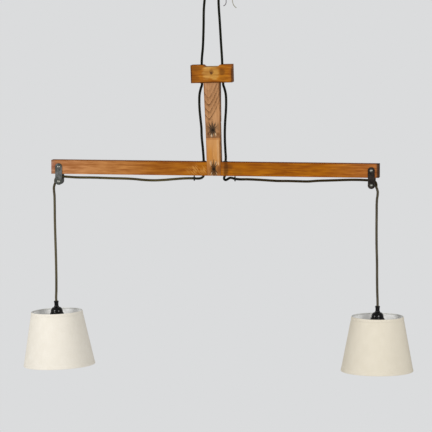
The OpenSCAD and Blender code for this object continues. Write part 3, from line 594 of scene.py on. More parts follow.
def iron_star(finish, colour, x, y, z, at_x, at_z, core, up, down, narrow, tint):
    """A dark stain where an iron screw met wet oak. With t the angle from straight up, its reach is core
    + |cos(7 t)| cos(t)^1.5 times up in its upper half, and the same with down in its lower half. Noise
    frays it, narrow squeezes it sideways, and it shows only in front of the depth STAINED_FACE."""
    dx, dz = x - at_x, (z - at_z) * narrow
    angle = finish.math("ARCTAN2", dz, dx)
    spike = abs(finish.math("COSINE", angle * 7.0))
    upright = finish.math("COSINE", angle)
    length = abs(upright)**1.5 * finish.range(upright, -0.1, 0.1, down, up)
    fray = finish.noise(finish.spot, 260.0, 3.0)
    reach = (spike * length + core) * finish.range(fray, 0.3, 0.7, 0.75, 1.25)
    inside = finish.range(finish.distance(dx, dz) / reach, 0.45, 1.15, 0.9, 0.0, smooth=True)
    in_front = finish.math("LESS_THAN", y, STAINED_FACE)
    return finish.mix(inside * in_front, colour, tint)


# %% The beam's oak
beam_oak = oak("warm_brown_oak", (0, 0, 0),
               [(-0.602, rgb(172, 136, 122)), (-0.585, rgb(206, 150, 106)), (-0.40, rgb(205, 146, 87)),
                (-0.22, rgb(179, 113, 35)), (0.0, rgb(182, 112, 14)), (0.40, rgb(182, 112, 10)),
                (0.50, rgb(186, 117, 41)), (0.590, rgb(184, 117, 60)), (0.597, rgb(74, 50, 32))],
               half=0.025, pith=(0.09, 0.05), slope=0.01, spacing=0.0045, shares=(0.08, 0.28, 0.64, 0.36),
               flecks={"at_x": -0.060, "at_z": -0.005, "rx": 0.048, "rz": 0.022, "tint": rgb(204, 148, 74)},
               washes=[(-0.585, 0.004, 0.018, 0.016, rgb(136, 62, 46), 0.5),
                       (0.044, -0.002, 0.011, 0.034, rgb(78, 48, 16), 0.62),
                       (0.054, 0.006, 0.018, 0.016, rgb(112, 72, 28), 0.45),
                       (0.085, -0.012, 0.024, 0.014, rgb(134, 86, 16), 0.4),
                       (0.034, 0.004, 0.005, 0.030, rgb(176, 122, 60), 0.5)])

# %% The lower post's oak
PALE_STREAK = rgb(226, 190, 150)
CROSSING_STAR = {"at_x": 0.0, "at_z": 0.0, "core": 0.0125, "up": 0.027, "down": 0.034, "narrow": 1.35,
                 "tint": rgb(42, 32, 20)}
lower_oak = oak("pale_straight_oak", (0, LEAN + GRAIN_UP, 0),
                [(-0.03, rgb(168, 111, 54)), (0.008, rgb(185, 125, 65)), (0.028, rgb(205, 147, 82)),
                 (0.113, rgb(209, 155, 97))],
                half=0.026, pith=(0.12, 0.02), slope=0.02, spacing=0.004, shares=(0.12, 0.24, 0.34, 0.16),
                washes=[(0.07, -0.017, 0.060, 0.005, rgb(226, 182, 132), 0.6),
                        (0.055, 0.012, 0.030, 0.010, rgb(216, 150, 66), 0.5),
                        (0.05, -0.0235, 0.075, 0.0025, rgb(128, 80, 40), 0.7),
                        (0.045, -0.0290, 0.6, 0.0040, rgb(76, 50, 28), 0.9),
                        (0.020, 0.0105, 0.013, 0.0045, PALE_STREAK, 0.85),
                        (0.020, -0.0075, 0.011, 0.004, PALE_STREAK, 0.75),
                        (0.020, -0.0165, 0.009, 0.0035, PALE_STREAK, 0.7),
                        (-0.018, 0.0085, 0.009, 0.004, PALE_STREAK, 0.8),
                        (-0.019, -0.008, 0.008, 0.004, PALE_STREAK, 0.7),
                        (-0.003, -0.018, 0.018, 0.008, rgb(124, 76, 36), 0.75),
                        (0.0, 0.012, 0.010, 0.006, rgb(132, 84, 38), 0.6),
                        (0.110, 0.0, 0.004, 0.040, rgb(164, 104, 58), 0.5)],
                stains=[CROSSING_STAR])

# %% The upper post's oak
SMUDGE = rgb(124, 84, 48)
LAP_STAR = {"at_x": 0.142, "at_z": 0.0015, "core": 0.0145, "up": 0.024, "down": 0.016, "narrow": 1.0,
            "tint": rgb(38, 33, 27)}
upper_oak = oak("greyish_tan_oak", (0, LEAN + GRAIN_UP, 0),
                [(0.113, rgb(156, 110, 72)), (0.130, rgb(183, 137, 95)), (0.20, rgb(200, 151, 105)),
                 (0.314, rgb(200, 152, 110))],
                half=0.0265, pith=(0.02, 0.004), slope=-0.16, spacing=0.0052, shares=(0.08, 0.22, 0.30, 0.18),
                arches={"middle": 0.0125, "low": 0.165, "high": 0.30, "spacing": 0.026, "strength": 1.0},
                washes=[(0.1225, 0.004, 0.0085, 0.0045, rgb(232, 210, 180), 0.95),
                        (0.1255, -0.009, 0.0085, 0.0035, rgb(228, 202, 166), 0.85),
                        (0.127, 0.0175, 0.010, 0.006, SMUDGE, 0.85),
                        (0.127, -0.019, 0.010, 0.006, SMUDGE, 0.85),
                        (0.1165, 0.0, 0.0035, 0.040, rgb(128, 88, 56), 0.6),
                        (0.152, -0.020, 0.022, 0.005, rgb(120, 88, 60), 0.6),
                        (0.150, 0.021, 0.024, 0.005, rgb(120, 88, 60), 0.6),
                        (0.215, -0.0325, 1.2, 0.0060, rgb(64, 44, 28), 0.9)],
                stains=[LAP_STAR])

# %% The cross block's oak
block_oak = oak("orange_brown_oak", (0, LEAN, 0),
                [(-0.0745, rgb(96, 58, 22)), (-0.070, rgb(166, 102, 25)), (-0.04, rgb(189, 120, 33)),
                 (0.06, rgb(196, 127, 33)), (0.0765, rgb(184, 115, 43))],
                half=2.0, pith=(0.07, 0.30), slope=0.05, spacing=0.005, shares=(0.14, 0.26, 0.62, 0.40),
                washes=[(-0.014, 0.350, 0.022, 0.030, rgb(218, 168, 90), 0.85),
                        (0.012, 0.350, 0.022, 0.029, rgb(212, 164, 84), 0.8),
                        (0.0, 0.371, 0.030, 0.004, rgb(226, 186, 110), 0.7),
                        (-0.056, 0.366, 0.030, 0.010, rgb(128, 76, 20), 0.65),
                        (-0.058, 0.330, 0.020, 0.014, rgb(142, 84, 20), 0.5),
                        (0.046, 0.331, 0.022, 0.010, rgb(148, 88, 16), 0.5),
                        (0.0, 0.3155, 0.11, 0.004, rgb(92, 52, 14), 0.8),
                        (0.040, 0.353, 0.013, 0.016, rgb(126, 80, 28), 0.7),
                        (0.001, 0.3545, 0.010, 0.009, rgb(140, 92, 44), 0.7),
                        (-0.0735, 0.346, 0.0045, 0.045, rgb(78, 46, 18), 0.8),
                        (0.0755, 0.340, 0.0040, 0.040, rgb(92, 58, 26), 0.75)])
print("oak:", [len(m.node_tree.nodes) for m in (beam_oak, lower_oak, upper_oak, block_oak)], "nodes")

# %% [markdown]
# ## Timbers with worn edges
# The CAD timbers are sharp. A hand-sawn frame has edges taken off with a plane and years of handling, so
# a merged copy of each solid gets a narrow bevel, which also catches a thin line of light.

# %% Softened copies of CAD nodes
def softened(node, width, material, segments=2, crease=30):
    """A copy of a CAD node's mesh whose loose triangles are merged, with a bevel of that width on every
    edge sharper than crease degrees. It stands in for the node and rides on the node's body."""
    source = frame["nodes"][node]
    mesh = bpy.data.meshes.new(f"{node}_finished")
    shape = bmesh.new()
    shape.from_mesh(source.data)
    shape.transform(source.matrix_world)
    bmesh.ops.remove_doubles(shape, verts=shape.verts, dist=2e-6)
    bmesh.ops.dissolve_limit(shape, angle_limit=math.radians(0.5), verts=shape.verts, edges=shape.edges)
    shape.to_mesh(mesh)
    shape.free()
    body = next(name for name, nodes in BODIES.items() if node in nodes)
    piece = add_piece(f"{node}_finished", mesh, material, body, crease)
    bevel = piece.modifiers.new("worn_edges", "BEVEL")
    bevel.width = width
    bevel.segments = segments
    bevel.limit_method = "ANGLE"
    bevel.angle_limit = math.radians(crease)
    bevel.harden_normals = True
    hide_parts(node)
    return piece


BODIES = frame["record"]["behaviour"]["bodies"]
softened("beam", 1.0 * MM, beam_oak)
softened("lower_post", 0.7 * MM, lower_oak)
softened("upper_post", 0.7 * MM, upper_oak)
softened("cross_block", 1.4 * MM, block_oak, segments=3)

# %% [markdown]
# ## Ironwork, steel and rubber
# The shackle plates and screw eyes are blackened iron, dull with a lighter worn look here and there. The
# left plates are painted a lighter grey all over, a painted reflection of a soft box on the dark iron. The
# domed heads are dulled steel, the screw in the block has gone brown, and the bushes are matt rubber. The
# holders' brass and ceramic and the wires' pale coat differ from them only in tones and gloss, so one
# function makes them all.

# %% Metal and rubber finishes
def worn_surface(name, colour, worn, metallic, rough, level=0.5):
    """Broad changes of tone and a fine, uneven relief, for metal, paint, rubber and glaze alike. level is
    the strength of the clear shine where it isn't metallic."""
    finish = Finish(name)
    broad = finish.noise(finish.spot, 70.0, 4.0, 0.6)
    small = finish.noise(finish.spot, 900.0, 3.0, 0.6)
    tint = finish.mix(finish.range(broad, 0.42, 0.68, smooth=True), colour, worn)
    dull = finish.range(broad, 0.3, 0.7, rough - 0.08, rough + 0.1)
    return finish.close(tint, dull, finish.bump(small, 0.00015, 0.4), Metallic=metallic,
                        Specular_IOR_Level=level)


black_iron = worn_surface("blackened_iron", rgb(24, 24, 25), rgb(44, 43, 44), 0.4, 0.5, 0.2)
rusted_iron = worn_surface("rusted_screw_iron", rgb(26, 22, 18), rgb(44, 34, 24), 0.1, 0.7, 0.1)
brown_rust = worn_surface("brown_rust", rgb(96, 60, 30), rgb(122, 80, 40), 0.1, 0.75, 0.1)
# Both colours of the left plates are lighter than the iron as a painted reflection; the right plates keep the
# iron's own dark tone.
plate_irons = {
    "left": worn_surface("left_plate_iron_painted_reflection", rgb(54, 58, 52), rgb(98, 99, 99), 0.2, 0.6, 0.3),
    "right": worn_surface("dark_plate_iron", rgb(27, 23, 20), rgb(52, 45, 39), 0.2, 0.5, 0.1),
}
dull_steel = worn_surface("dull_steel", rgb(150, 150, 142), rgb(96, 96, 90), 1.0, 0.34)
bracket_paint = worn_surface("black_bracket_paint", rgb(40, 40, 44), rgb(50, 50, 54), 0.0, 0.42)
brass = worn_surface("brass", rgb(204, 172, 92), rgb(176, 142, 70), 1.0, 0.3)
rubber = worn_surface("black_rubber", rgb(24, 24, 24), rgb(34, 33, 32), 0.0, 0.75)
roller_finish = worn_surface("dark_turned_roller", rgb(44, 43, 43), rgb(58, 57, 55), 0.0, 0.5)
ceramic = worn_surface("glazed_ceramic", rgb(232, 227, 216), rgb(222, 216, 204), 0.0, 0.25)
wire_coat = worn_surface("pale_wire_coat", rgb(206, 206, 200), rgb(188, 188, 182), 0.0, 0.4)
print(len(bpy.data.materials), "finishes so far")

# %% Small metal pieces
for node in ("crossing_screw", "lap_screw"):
    softened(node, 0.2 * MM, rusted_iron)
softened("block_screw", 0.2 * MM, brown_rust)
for node in ("ceiling_bracket", "clamp_bar"):
    softened(node, 0.6 * MM, bracket_paint)
softened("clamp_screws", 0.3 * MM, dull_steel)
softened("block_bushes", 0.35 * MM, rubber)
for side in ("left", "right"):
    softened(f"{side}_front_plate", 0.5 * MM, plate_irons[side], segments=3)
    softened(f"{side}_back_plate", 0.5 * MM, plate_irons[side], segments=3)
    softened(f"{side}_shackle_nuts", 0.4 * MM, black_iron)
    softened(f"{side}_shackle_bolt", 0.3 * MM, dull_steel)
    softened(f"{side}_roller_pin", 0.3 * MM, dull_steel)
    softened(f"{side}_roller", 0.4 * MM, roller_finish, crease=40)
    softened(f"{side}_contact_block", 0.4 * MM, ceramic)
    softened(f"{side}_terminal_screws", 0.2 * MM, brass)
    softened(f"{side}_centre_contact", 0.2 * MM, brass)

# %% [markdown]
# ## Bushes in the top of the beam
# Where a cord goes down into the beam, a rubber bush keeps it off the wood's edge. Its collar is a low
# cone about 3 mm high. A bevelled copy of the CAD solid would do for a flat collar, but a cone is a profile
# turned round the hole's axis, so both bushes are turned, into one mesh that stands in for their node.

# %% The beam's bushes
BUSH_PROFILE = np.array([(5.5, -12.0), (6.7, -12.0), (6.7, 0.0), (8.7, 0.0), (8.7, 0.8), (8.3, 1.4),
                         (6.8, 3.0), (5.5, 3.0)]) * MM
BUSH_OFF, BUSH_SIDES = 40 * MM, 48


def revolve(profile, sides, wave=None):
    """The points of a profile (r, z) carried round an upright axis: (r cos u, r sin u, z). wave(r, z, u) may
    change the radius, as flutes or a thread do."""
    turn = once_round(sides)[None, :]
    r, z = profile[:, :1], profile[:, 1:]
    r = r + (wave(r, z, turn) if wave else 0 * turn)
    return np.stack([r * np.cos(turn), r * np.sin(turn), z + 0 * turn], axis=-1)


beam_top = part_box("beam")[1][2]
u, v = np.linspace(0, 1, BUSH_SIDES + 1), np.arange(len(BUSH_PROFILE) + 1.0)
turned_bushes = mesh_from("turned_beam_bushes", [
    sheet_of(revolve(BUSH_PROFILE, BUSH_SIDES) + (CROSSING[0] + off, 0, beam_top), u, v, close_rows=True)
    for off in (-BUSH_OFF, BUSH_OFF)])
piece = add_piece("turned_beam_bushes", turned_bushes, rubber, "frame")
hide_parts("beam_bushes")
print("beam bushes:", len(turned_bushes.polygons), "faces, on the wood at", round(beam_top, 4), "m")

# %% [markdown]
# ## Screw eyes
# A screw eye is one bent wire: a closed ring on a shank that is screwed up into the beam. Each is bent
# from a tube round a circle, turned a little off square as hand-set eyes are, and a straight tube that
# grows out of the ring's wire.

# %% The screw eyes
EYE_R, EYE_WIRE, EYE_TURN = 7.5, 3.8, math.radians(18)
EYE_X = {"left": -64.0, "right": 86.0}
EYE_Z = -703.5
UP = np.array([0.0, 0.0, 1.0])
for side, x in EYE_X.items():
    turn = once_round(48)
    facing = np.array([-math.sin(EYE_TURN), math.cos(EYE_TURN), 0.0])
    middle = np.array([x, 0.0, EYE_Z])
    ring = middle + EYE_R * (np.cos(turn)[:, None] * facing + np.sin(turn)[:, None] * UP)
    across = np.cross(facing, UP)
    shank = middle + np.linspace(EYE_R, EYE_R + 22, 12)[:, None] * UP
    grids = [tube(ring * MM, EYE_WIRE / 2 * MM, 20, across, close=True),
             tube(shank * MM, np.linspace(1.0, 0.96, 12) * EYE_WIRE / 2 * MM, 20)]
    piece = add_piece(f"{side}_bent_eye", mesh_from(f"{side}_bent_eye", grids), black_iron, "frame",
                      50)
    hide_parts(f"{side}_screw_eye")
    print(side, "eye:", len(piece.data.polygons), "faces")

# %% [markdown]
# ## Turned pieces of a lampholder
# The holder is pressed from black phenolic resin and turned true: a nut and sleeve that grip the cord, a
# dome, a flaring collar, a threaded barrel and the ring that holds the shade. Each is a closed profile
# carried round the lamp's axis. Each lamp hangs a little askew, so the profile's points are turned by its
# tilt and moved to the point where the cord goes in.

# %% Placing a lamp's pieces
LAMPS = {
    "left": (np.array([-579.0, 0.0, -1163.5]), math.radians(-2.6)),
    "right": (np.array([609.0, 0.0, -1160.0]), math.radians(0.2)),
}
GRIP_H, DOME_H, COLLAR_H = 23.0, 17.5, 9.5
COLLAR_TOP = -GRIP_H - DOME_H
COLLAR_LOW = COLLAR_TOP - COLLAR_H
HUB_T, HUB_R, RING_BORE = 1.5, 28.5, 19.75
HUB_LOW = COLLAR_LOW - HUB_T
BARREL_LOW = COLLAR_LOW - 36
SOCKET_H, SOCKET_R, BARREL_R = 28.0, 13.3, 19.6
print("collar's lower edge", -COLLAR_LOW, "mm and barrel's", -BARREL_LOW, "mm under the neck")


def on_lamp(side, points):
    """Turns points about the y axis by the lamp's tilt, x' = x cos t + z sin t, z' = z cos t - x sin t, and
    moves them to its neck. The points are in millimetres, and the result is in metres."""
    neck, tilt = LAMPS[side]
    x, y, z = points[..., 0], points[..., 1], points[..., 2]
    turned = np.stack([x * math.cos(tilt) + z * math.sin(tilt), y, z * math.cos(tilt) - x * math.sin(tilt)],
                      axis=-1)
    return (turned + neck) * MM


# %% Profiles and turning
def rounded(corners, radius=0.5, steps=4):
    """A closed profile with its corners rounded: each corner becomes a quadratic curve between two points
    at that distance from it, (1 - t)^2 a + 2 t (1 - t) corner + t^2 b."""
    corners = np.asarray(corners, float)
    before = np.roll(corners, 1, axis=0) - corners
    after = np.roll(corners, -1, axis=0) - corners
    size_b = np.linalg.norm(before, axis=1, keepdims=True)
    size_a = np.linalg.norm(after, axis=1, keepdims=True)
    reach = np.minimum(radius, 0.45 * np.minimum(size_a, size_b))
    a = corners + before / size_b * reach
    b = corners + after / size_a * reach
    t = np.linspace(0, 1, steps)[None, :, None]
    return ((1 - t)**2 * a[:, None] + 2 * t * (1 - t) * corners[:, None] + t**2 * b[:, None]).reshape(-1, 2)


def turned(side, profile, sides=96, wave=None):
    """The closed profile carried round the lamp's axis, with its UV map in metres along the profile."""
    edge = along_path(np.vstack([profile, profile[:1]])) * MM
    return sheet_of(on_lamp(side, revolve(profile, sides, wave)), np.linspace(0, 1, sides + 1), edge,
                    close_rows=True)


# %% The black resin
def resin(name):
    """Polished black resin: a dark, even body under a clear gloss, with faint smears in the gloss."""
    finish = Finish(name)
    smear = finish.noise(finish.spot, 90.0, 4.0, 0.6)
    speck = finish.noise(finish.spot, 1500.0, 2.0)
    tint = finish.mix(finish.range(speck, 0.55, 0.75, 0.0, 0.5), rgb(7, 7, 7), rgb(14, 13, 13))
    return finish.close(tint, finish.range(smear, 0.35, 0.7, 0.08, 0.16), finish.bump(smear, 0.0001, 0.2),
                        Specular_IOR_Level=0.25)


black_resin = resin("polished_black_resin")


# %% Flutes and threads
def flutes(low, high, count, depth):
    """Grooves along the axis between two heights: the radius loses depth (0.5 - 0.5 cos(count u))^2, faded
    in and out over 0.8 mm at either end."""
    def wave(r, z, turn):
        fade = np.clip(np.minimum(z - low, high - z) / 0.8, 0, 1)
        outer = r > r.max() - 2.5
        return -depth * fade * outer * (0.5 - 0.5 * np.cos(count * turn))**2
    return wave


def turns(low, high, pitch, depth, face, inner=False):
    """A round thread between two heights on the face of that radius: the radius there loses
    depth (0.5 + 0.5 cos(2 pi z / pitch - u)). An inner thread so stands out into its hole."""
    def wave(r, z, turn):
        fade = np.clip(np.minimum(z - low, high - z) / 1.2, 0, 1)
        here = (r < face + 0.05) if inner else (r > face - 0.05)
        return -depth * fade * here * (0.5 + 0.5 * np.cos(2 * math.pi * z / pitch - turn))
    return wave


def finely(profile, step):
    """The closed profile with points added so that none are further apart than step."""
    ends = np.roll(profile, -1, axis=0)
    counts = np.maximum(1, np.ceil(np.linalg.norm(ends - profile, axis=1) / step)).astype(int)
    start = np.repeat(profile, counts, axis=0)
    end = np.repeat(ends, counts, axis=0)
    first = np.repeat(np.cumsum(counts) - counts, counts)
    part = (np.arange(counts.sum()) - first) / np.repeat(counts, counts)
    return start + part[:, None] * (end - start)


# %% The holders
GRIP_R, DOME_R, DOME_BORE, DOME_WALL = 9.4, 22.5, 20.15, 2.2
GRIP = [(4.7, 0), (7.6, 0), (8.8, -1.2), (8.8, -6.2), (7.8, -7.2), (7.8, -18), (GRIP_R, -20.5),
        (GRIP_R, -GRIP_H), (6, -GRIP_H), (6, -GRIP_H - 7), (4.7, -GRIP_H - 7)]
BODY = [(17.15, COLLAR_TOP + 5), (18.8, COLLAR_TOP + 5), (20, COLLAR_TOP + 2), (20, COLLAR_TOP),
        (DOME_R, COLLAR_TOP), (23.1, COLLAR_TOP - 2), (25.1, COLLAR_LOW + 4.5), (26, COLLAR_LOW + 3),
        (26, COLLAR_LOW), (BARREL_R, COLLAR_LOW), (BARREL_R, BARREL_LOW + 2), (BARREL_R - 2, BARREL_LOW),
        (13.95, BARREL_LOW), (13.95, COLLAR_TOP - 6), (17.15, COLLAR_TOP - 6)]
RING = [(RING_BORE, HUB_LOW - 8), (23, HUB_LOW - 8), (25.5, HUB_LOW - 6), (25.5, HUB_LOW - 0.8),
        (24.7, HUB_LOW), (RING_BORE, HUB_LOW)]
LINER = [(SOCKET_R, BARREL_LOW + 2), (13.9, BARREL_LOW + 2), (13.9, BARREL_LOW + 2 + SOCKET_H),
         (SOCKET_R, BARREL_LOW + 2 + SOCKET_H)]


def dome_line(low_r, high):
    """A quarter of an ellipse (r, z), from the grip's radius at the top out to low_r at the collar."""
    rise = np.linspace(0, math.pi / 2, 15)
    return np.stack([GRIP_R + (low_r - GRIP_R) * np.sin(rise), COLLAR_TOP + high * np.cos(rise)], axis=1)


DOME = np.vstack([[(6.05, -GRIP_H)], dome_line(DOME_R, DOME_H),
                  dome_line(DOME_BORE, DOME_H - DOME_WALL)[::-1], [(6.05, -GRIP_H - DOME_WALL)]])

for side in ("left", "right"):
    lamp = f"{side}_lamp"
    for name, node, profile, wave, finish, crease in (
        ("cord_grip_turned", "cord_grip", finely(rounded(GRIP, 0.5), 0.6), flutes(-6.6, -0.8, 14, 0.5),
         black_resin, 40),
        ("dome_turned", "holder_cap", rounded(DOME, 0.25, 3), None, black_resin, 40),
        ("body_turned", "holder_body", finely(rounded(BODY, 0.4), 0.5),
         turns(BARREL_LOW + 2, COLLAR_LOW, 2.5, 0.45, BARREL_R), black_resin, 50),
        ("shade_ring_turned", "shade_ring", finely(rounded(RING, 0.4), 0.7),
         flutes(HUB_LOW - 6.4, HUB_LOW - 0.4, 36, 0.6), black_resin, 40),
        ("thread_liner", "thread_shell", finely(np.asarray(LINER), 0.35),
         turns(BARREL_LOW + 2.4, BARREL_LOW + 1.6 + SOCKET_H, 3.6, 0.9, SOCKET_R, inner=True), brass, 50),
    ):
        sides = 144 if "ring" in name or "grip" in name else 96
        mesh = mesh_from(f"{side}_{name}", [turned(side, profile, sides, wave)])
        piece = add_piece(f"{side}_{name}", mesh, finish, lamp, crease)
        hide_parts(f"{side}_{node}")
print("turned pieces on both lamps")

# %% [markdown]
# ## Spider and wires
# A sprung wire ring under the top hem is held to the holder by three arms on a flat hub, and a second ring
# keeps the bottom hem round. Wire is bent, so each arm is a tube on a smooth path.

# %% The wires
RIM_TOP = COLLAR_LOW + 12
SHADE_H = 200
RIM_LOW = RIM_TOP - SHADE_H
SHADE_TOP_R, SHADE_SPREAD = 94, 38
WALL = 1.2
WIRE_R = 1.5


def shade_radius(z):
    """The cone's radius in mm, which grows by SHADE_SPREAD from the top rim to the bottom one."""
    return SHADE_TOP_R + SHADE_SPREAD * (RIM_TOP - z) / SHADE_H


def wire_ring(z):
    """A closed wire's path just inside the lined linen at the height z, and its radius."""
    turn = once_round(160)
    ring = shade_radius(z) - WALL - WIRE_R - 0.3
    return np.stack([ring * np.cos(turn), ring * np.sin(turn), z + 0 * turn], axis=1), ring


for side in ("left", "right"):
    top_z, low_z = RIM_TOP - 1 - WIRE_R, RIM_LOW + 1 + WIRE_R
    hub_mid = HUB_LOW + HUB_T / 2
    path, ring = wire_ring(top_z)
    axis = on_lamp(side, np.array([0.0, 0.0, 1.0])) - on_lamp(side, np.array([0.0, 0.0, 0.0]))
    grids = [tube(on_lamp(side, path), WIRE_R * MM, 14, axis, close=True)]
    hub = rounded([(RING_BORE, HUB_LOW), (HUB_R, HUB_LOW), (HUB_R, COLLAR_LOW), (RING_BORE, COLLAR_LOW)], 0.4)
    grids.append(turned(side, hub))
    for angle in np.radians([90, 210, 330]):
        reach = np.array([25, 29, 34, 55, 80, 87, ring])
        climb = np.array([0, 0.15, 1.0, 4.6, 8.6, 9.6, top_z - hub_mid])
        arm = np.stack([reach * math.cos(angle), reach * math.sin(angle), hub_mid + climb], axis=1)
        arm = smooth_path(on_lamp(side, arm), 0.002)
        grids.append(tube(arm, (WIRE_R - 0.1) * MM, 12, axis))
    piece = add_piece(f"{side}_spider_wires", mesh_from(f"{side}_spider_wires", grids), wire_coat,
                      f"{side}_lamp")
    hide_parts(f"{side}_spider")
    path, _ = wire_ring(low_z)
    mesh = mesh_from(f"{side}_bottom_ring", [tube(on_lamp(side, path), WIRE_R * MM, 14, axis, close=True)])
    piece = add_piece(f"{side}_bottom_ring", mesh, wire_coat, f"{side}_lamp")
    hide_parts(f"{side}_bottom_wire")
    print(side, "spider's rim has a radius of", round(ring, 1), "mm")

# %% [markdown]
# ## Linen shades
# The cloth is glued to a stiff white lining, rolled into a cone and joined in a seam at the back, with a
# folded hem at top and bottom. A cone unrolls into a flat ring sector, so the UV map is that sector: the
# threads stand upright where the cloth's middle is, at the front, and lean towards the seam.

# %% The linen
THREAD, WANDER = 0.00062, 0.0002


def linen(name, warp, weft, gap_shade_and_slub):
    """Plain weave. On the unrolled cloth, threads run at every 0.62 mm both ways. Each thread is a ridge
    |sin(pi x / p)|, the two families change places on a chequered plan, and slow noise stretched along
    each thread makes it thick and thin, with slubs where it is thickest. The third colour is painted shade
    in the low ground between threads, and a real deeper tone on slubs and broad blotches."""
    finish = Finish(name)
    u, v, _ = finish.split(finish.add("UVMap", output="UV"))
    sheet = finish.add("CombineXYZ", {0: u, 1: v})
    down = finish.noise(finish.place(sheet, (1500, 26, 1)), detail=2.0)
    over = finish.noise(finish.place(sheet, (22, 1500, 1)), detail=2.0)
    across = (u + over * WANDER) * (1 / THREAD)
    upward = (v + down * WANDER) * (1 / THREAD)
    ridge_a = abs(finish.math("SINE", across * math.pi))
    ridge_b = abs(finish.math("SINE", upward * math.pi))
    plan = finish.add("TexChecker", {"Vector": finish.add("CombineXYZ", {0: across, 1: upward}),
                                     "Scale": 1.0}, output="Fac")
    height = plan * ridge_a + (1.0 - plan) * ridge_b
    slub = finish.math("MAXIMUM", finish.range(over, 0.66, 0.8, smooth=True),
                       finish.range(down, 0.68, 0.82, smooth=True))
    broad = finish.noise(finish.place(sheet, (30, 30, 1)), detail=3.0)
    colour = finish.mix(plan, weft, warp)
    # Painted shade: where the thread ridges fall off, the cloth takes the darker colour.
    colour = finish.mix(finish.range(height, 0.0, 0.8), gap_shade_and_slub, colour)
    colour = finish.mix(slub * 0.35, colour, gap_shade_and_slub)
    colour = finish.mix(finish.range(broad, 0.35, 0.65, 0.0, 0.12), colour, gap_shade_and_slub)
    bump = finish.bump(height + slub * 0.8, 0.00022, 0.55)
    return finish.close(colour, 0.88, bump, Specular_IOR_Level=0.2)


def lining(name):
    """White plastic film behind the linen, with the faintest haze."""
    finish = Finish(name)
    haze = finish.noise(finish.spot, 24.0, 3.0)
    tint = finish.mix(finish.range(haze, 0.35, 0.65), rgb(238, 238, 236), rgb(232, 231, 228))
    return finish.close(tint, finish.range(haze, 0.3, 0.7, 0.4, 0.5))


linens = {
    "left": linen("left_natural_linen", rgb(241, 236, 226), rgb(236, 230, 218), rgb(208, 200, 182)),
    "right": linen("right_natural_linen", rgb(230, 223, 207), rgb(226, 218, 201), rgb(200, 190, 168)),
}
white_film = lining("white_lining_film")
print("linens:", [m.name for m in linens.values()], "and", white_film.name)

# %% The shade's wall
SIN_CONE = SHADE_SPREAD / math.hypot(SHADE_SPREAD, SHADE_H)
COLUMNS = 240


def shade_profile():
    """The wall as a closed (r, z) line, and how many of its points are linen: up the linen from the bottom
    hem's fold, over the top hem and down the lining. A hem stands 0.6 mm proud, with a soft step, and each
    rim is a round fold."""
    hem = [(0.0, 0.0), (0.45, 0.7), (0.6, 2.0), (0.6, 8.2), (0.5, 8.8), (0.0, 9.4)]
    low = [(shade_radius(RIM_LOW + h) + proud, RIM_LOW + h) for proud, h in hem]
    wall = [(shade_radius(z), z) for z in np.linspace(RIM_LOW + 14, RIM_TOP - 14, 22)]
    top = [(shade_radius(RIM_TOP - h) + proud, RIM_TOP - h) for proud, h in hem[::-1]]
    inner = [(shade_radius(z) - WALL, z) for z in np.linspace(RIM_TOP - 0.5, RIM_LOW + 0.5, 24)]
    return np.array(low + wall + top + inner), len(low + wall + top)


def cone_points(profile, linen_rows):
    """The profile carried round, starting at the back. The radius wanders by three slow waves, and the
    linen is thicker where its two edges overlap in the seam."""
    turn = once_round(COLUMNS)[None, :]
    r, z = profile[:, :1], profile[:, 1:]
    angle = turn + math.pi / 2
    soft = 0.22 * np.sin(2 * angle + 0.4) + 0.16 * np.sin(3 * angle + 1.9) + 0.1 * np.sin(7 * angle + z / 31)
    on_linen = np.arange(len(profile))[:, None] < linen_rows
    seam = np.exp(-((turn - 0.05) / 0.055)**8) * 0.5 * on_linen
    width = r + 0.5 * soft + 0.35 * seam
    return np.stack([width * np.cos(angle), width * np.sin(angle), z + 0 * angle], axis=-1)


def unrolled(profile, corner):
    """The UV map of each corner (column, row) as it lies on the unrolled cloth, in metres: at the distance
    r / sin(cone) from the cone's tip and the angle u sin(cone) there, with 0 at the front."""
    away = np.append(profile[:, 0], profile[0, 0]) / SIN_CONE * MM
    spread = (np.linspace(0, 2 * math.pi, COLUMNS + 1) - math.pi) * SIN_CONE
    phi, rho = spread[corner[..., 0].astype(int)], away[corner[..., 1].astype(int)]
    return np.stack([rho * np.sin(phi), rho * np.cos(phi)], axis=-1)


def line_inside(mesh, side):
    """Gives the white film to the faces that look at the lamp's axis."""
    mesh.materials.append(white_film)
    centre, normal = (np.empty((len(mesh.polygons), 3)) for _ in range(2))
    mesh.polygons.foreach_get("center", centre.ravel())
    mesh.polygons.foreach_get("normal", normal.ravel())
    inward = ((centre - LAMPS[side][0] * MM)[:, :2] * normal[:, :2]).sum(axis=1) < 0
    mesh.polygons.foreach_set("material_index", inward.astype(np.int32))


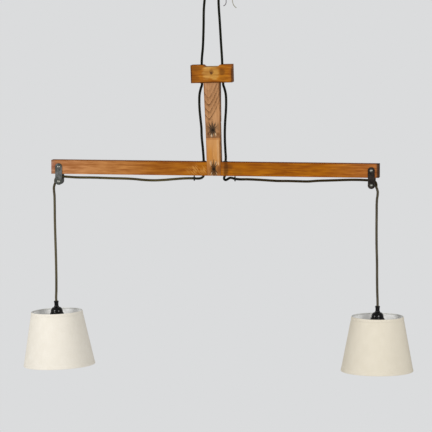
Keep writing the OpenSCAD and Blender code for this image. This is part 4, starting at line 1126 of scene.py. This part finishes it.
# %% The shades
profile, linen_rows = shade_profile()
for side in ("left", "right"):
    points, faces = sheet_of(on_lamp(side, cone_points(profile, linen_rows)), np.arange(COLUMNS + 1.0),
                             np.arange(len(profile) + 1.0), close_rows=True)
    quads, corner = faces[0]
    mesh = mesh_from(f"{side}_linen_shade", [(points, [(quads, unrolled(profile, corner))])])
    shade = add_piece(f"{side}_linen_shade", mesh, linens[side], f"{side}_lamp", 60)
    line_inside(mesh, side)
    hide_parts(f"{side}_shade")
    print(side, "shade:", len(mesh.polygons), "faces")

# %% [markdown]
# ## Floor and light
# The room stays empty: a pale floor far below, and a background of the photograph's light grey that only
# camera and transmission rays see. The metal and the black resin mirror an even, darker light. Two soft
# boxes stand in front, the left one nearer, which shades the left lamp towards its right side as in the
# photograph.

# %% The floor
floor_finish = Finish("pale_floor")
grain = floor_finish.noise(floor_finish.spot, 3.0, 2.0)
floor_tint = floor_finish.mix(floor_finish.range(grain, 0.4, 0.6), rgb(224, 224, 225), rgb(222, 222, 223))
floor_finish.close(floor_tint, 0.9)
mesh = bpy.data.meshes.new("floor")
half, level = 3.0, -2.4
mesh.from_pydata([(-half, -half, level), (half, -half, level), (half, half, level), (-half, half, level)],
                 [], [(0, 1, 2, 3)])
mesh.materials.append(floor_finish.material)
floor = bpy.data.objects.new("floor", mesh)
scene.collection.objects.link(floor)
print("floor at", level, "m")

# %% The world and the soft boxes
BACKDROP = rgb(219, 220, 221)
world = bpy.data.worlds.new("studio")
scene.world = world
sky = Tree(world)
seen = sky.math("MAXIMUM", sky.add("LightPath", output="Is Camera Ray"),
                sky.add("LightPath", output="Is Transmission Ray"))
ambient = sky.add("Background", {"Color": rgb(255, 255, 255), "Strength": 0.43})
backdrop = sky.add("Background", {"Color": BACKDROP})
sky.end("OutputWorld", sky.add("MixShader", {0: seen, 1: ambient, 2: backdrop}))


def soft_box(name, place, target, size, watts):
    """A square area light that faces a point of the object."""
    data = bpy.data.lights.new(name, "AREA")
    data.size = size
    data.energy = watts
    lamp = bpy.data.objects.new(name, data)
    scene.collection.objects.link(lamp)
    lamp.location = place
    lamp.rotation_euler = (Vector(target) - Vector(place)).to_track_quat("-Z", "Y").to_euler()


soft_box("left_soft_box", (-1.95, -1.9, -0.5), (-0.5, 0, -1.0), 1.0, 37)
soft_box("right_soft_box", (1.75, -2.1, -0.5), (0.6, 0, -1.0), 1.0, 34)
print("lights:", [light.name for light in bpy.data.lights])
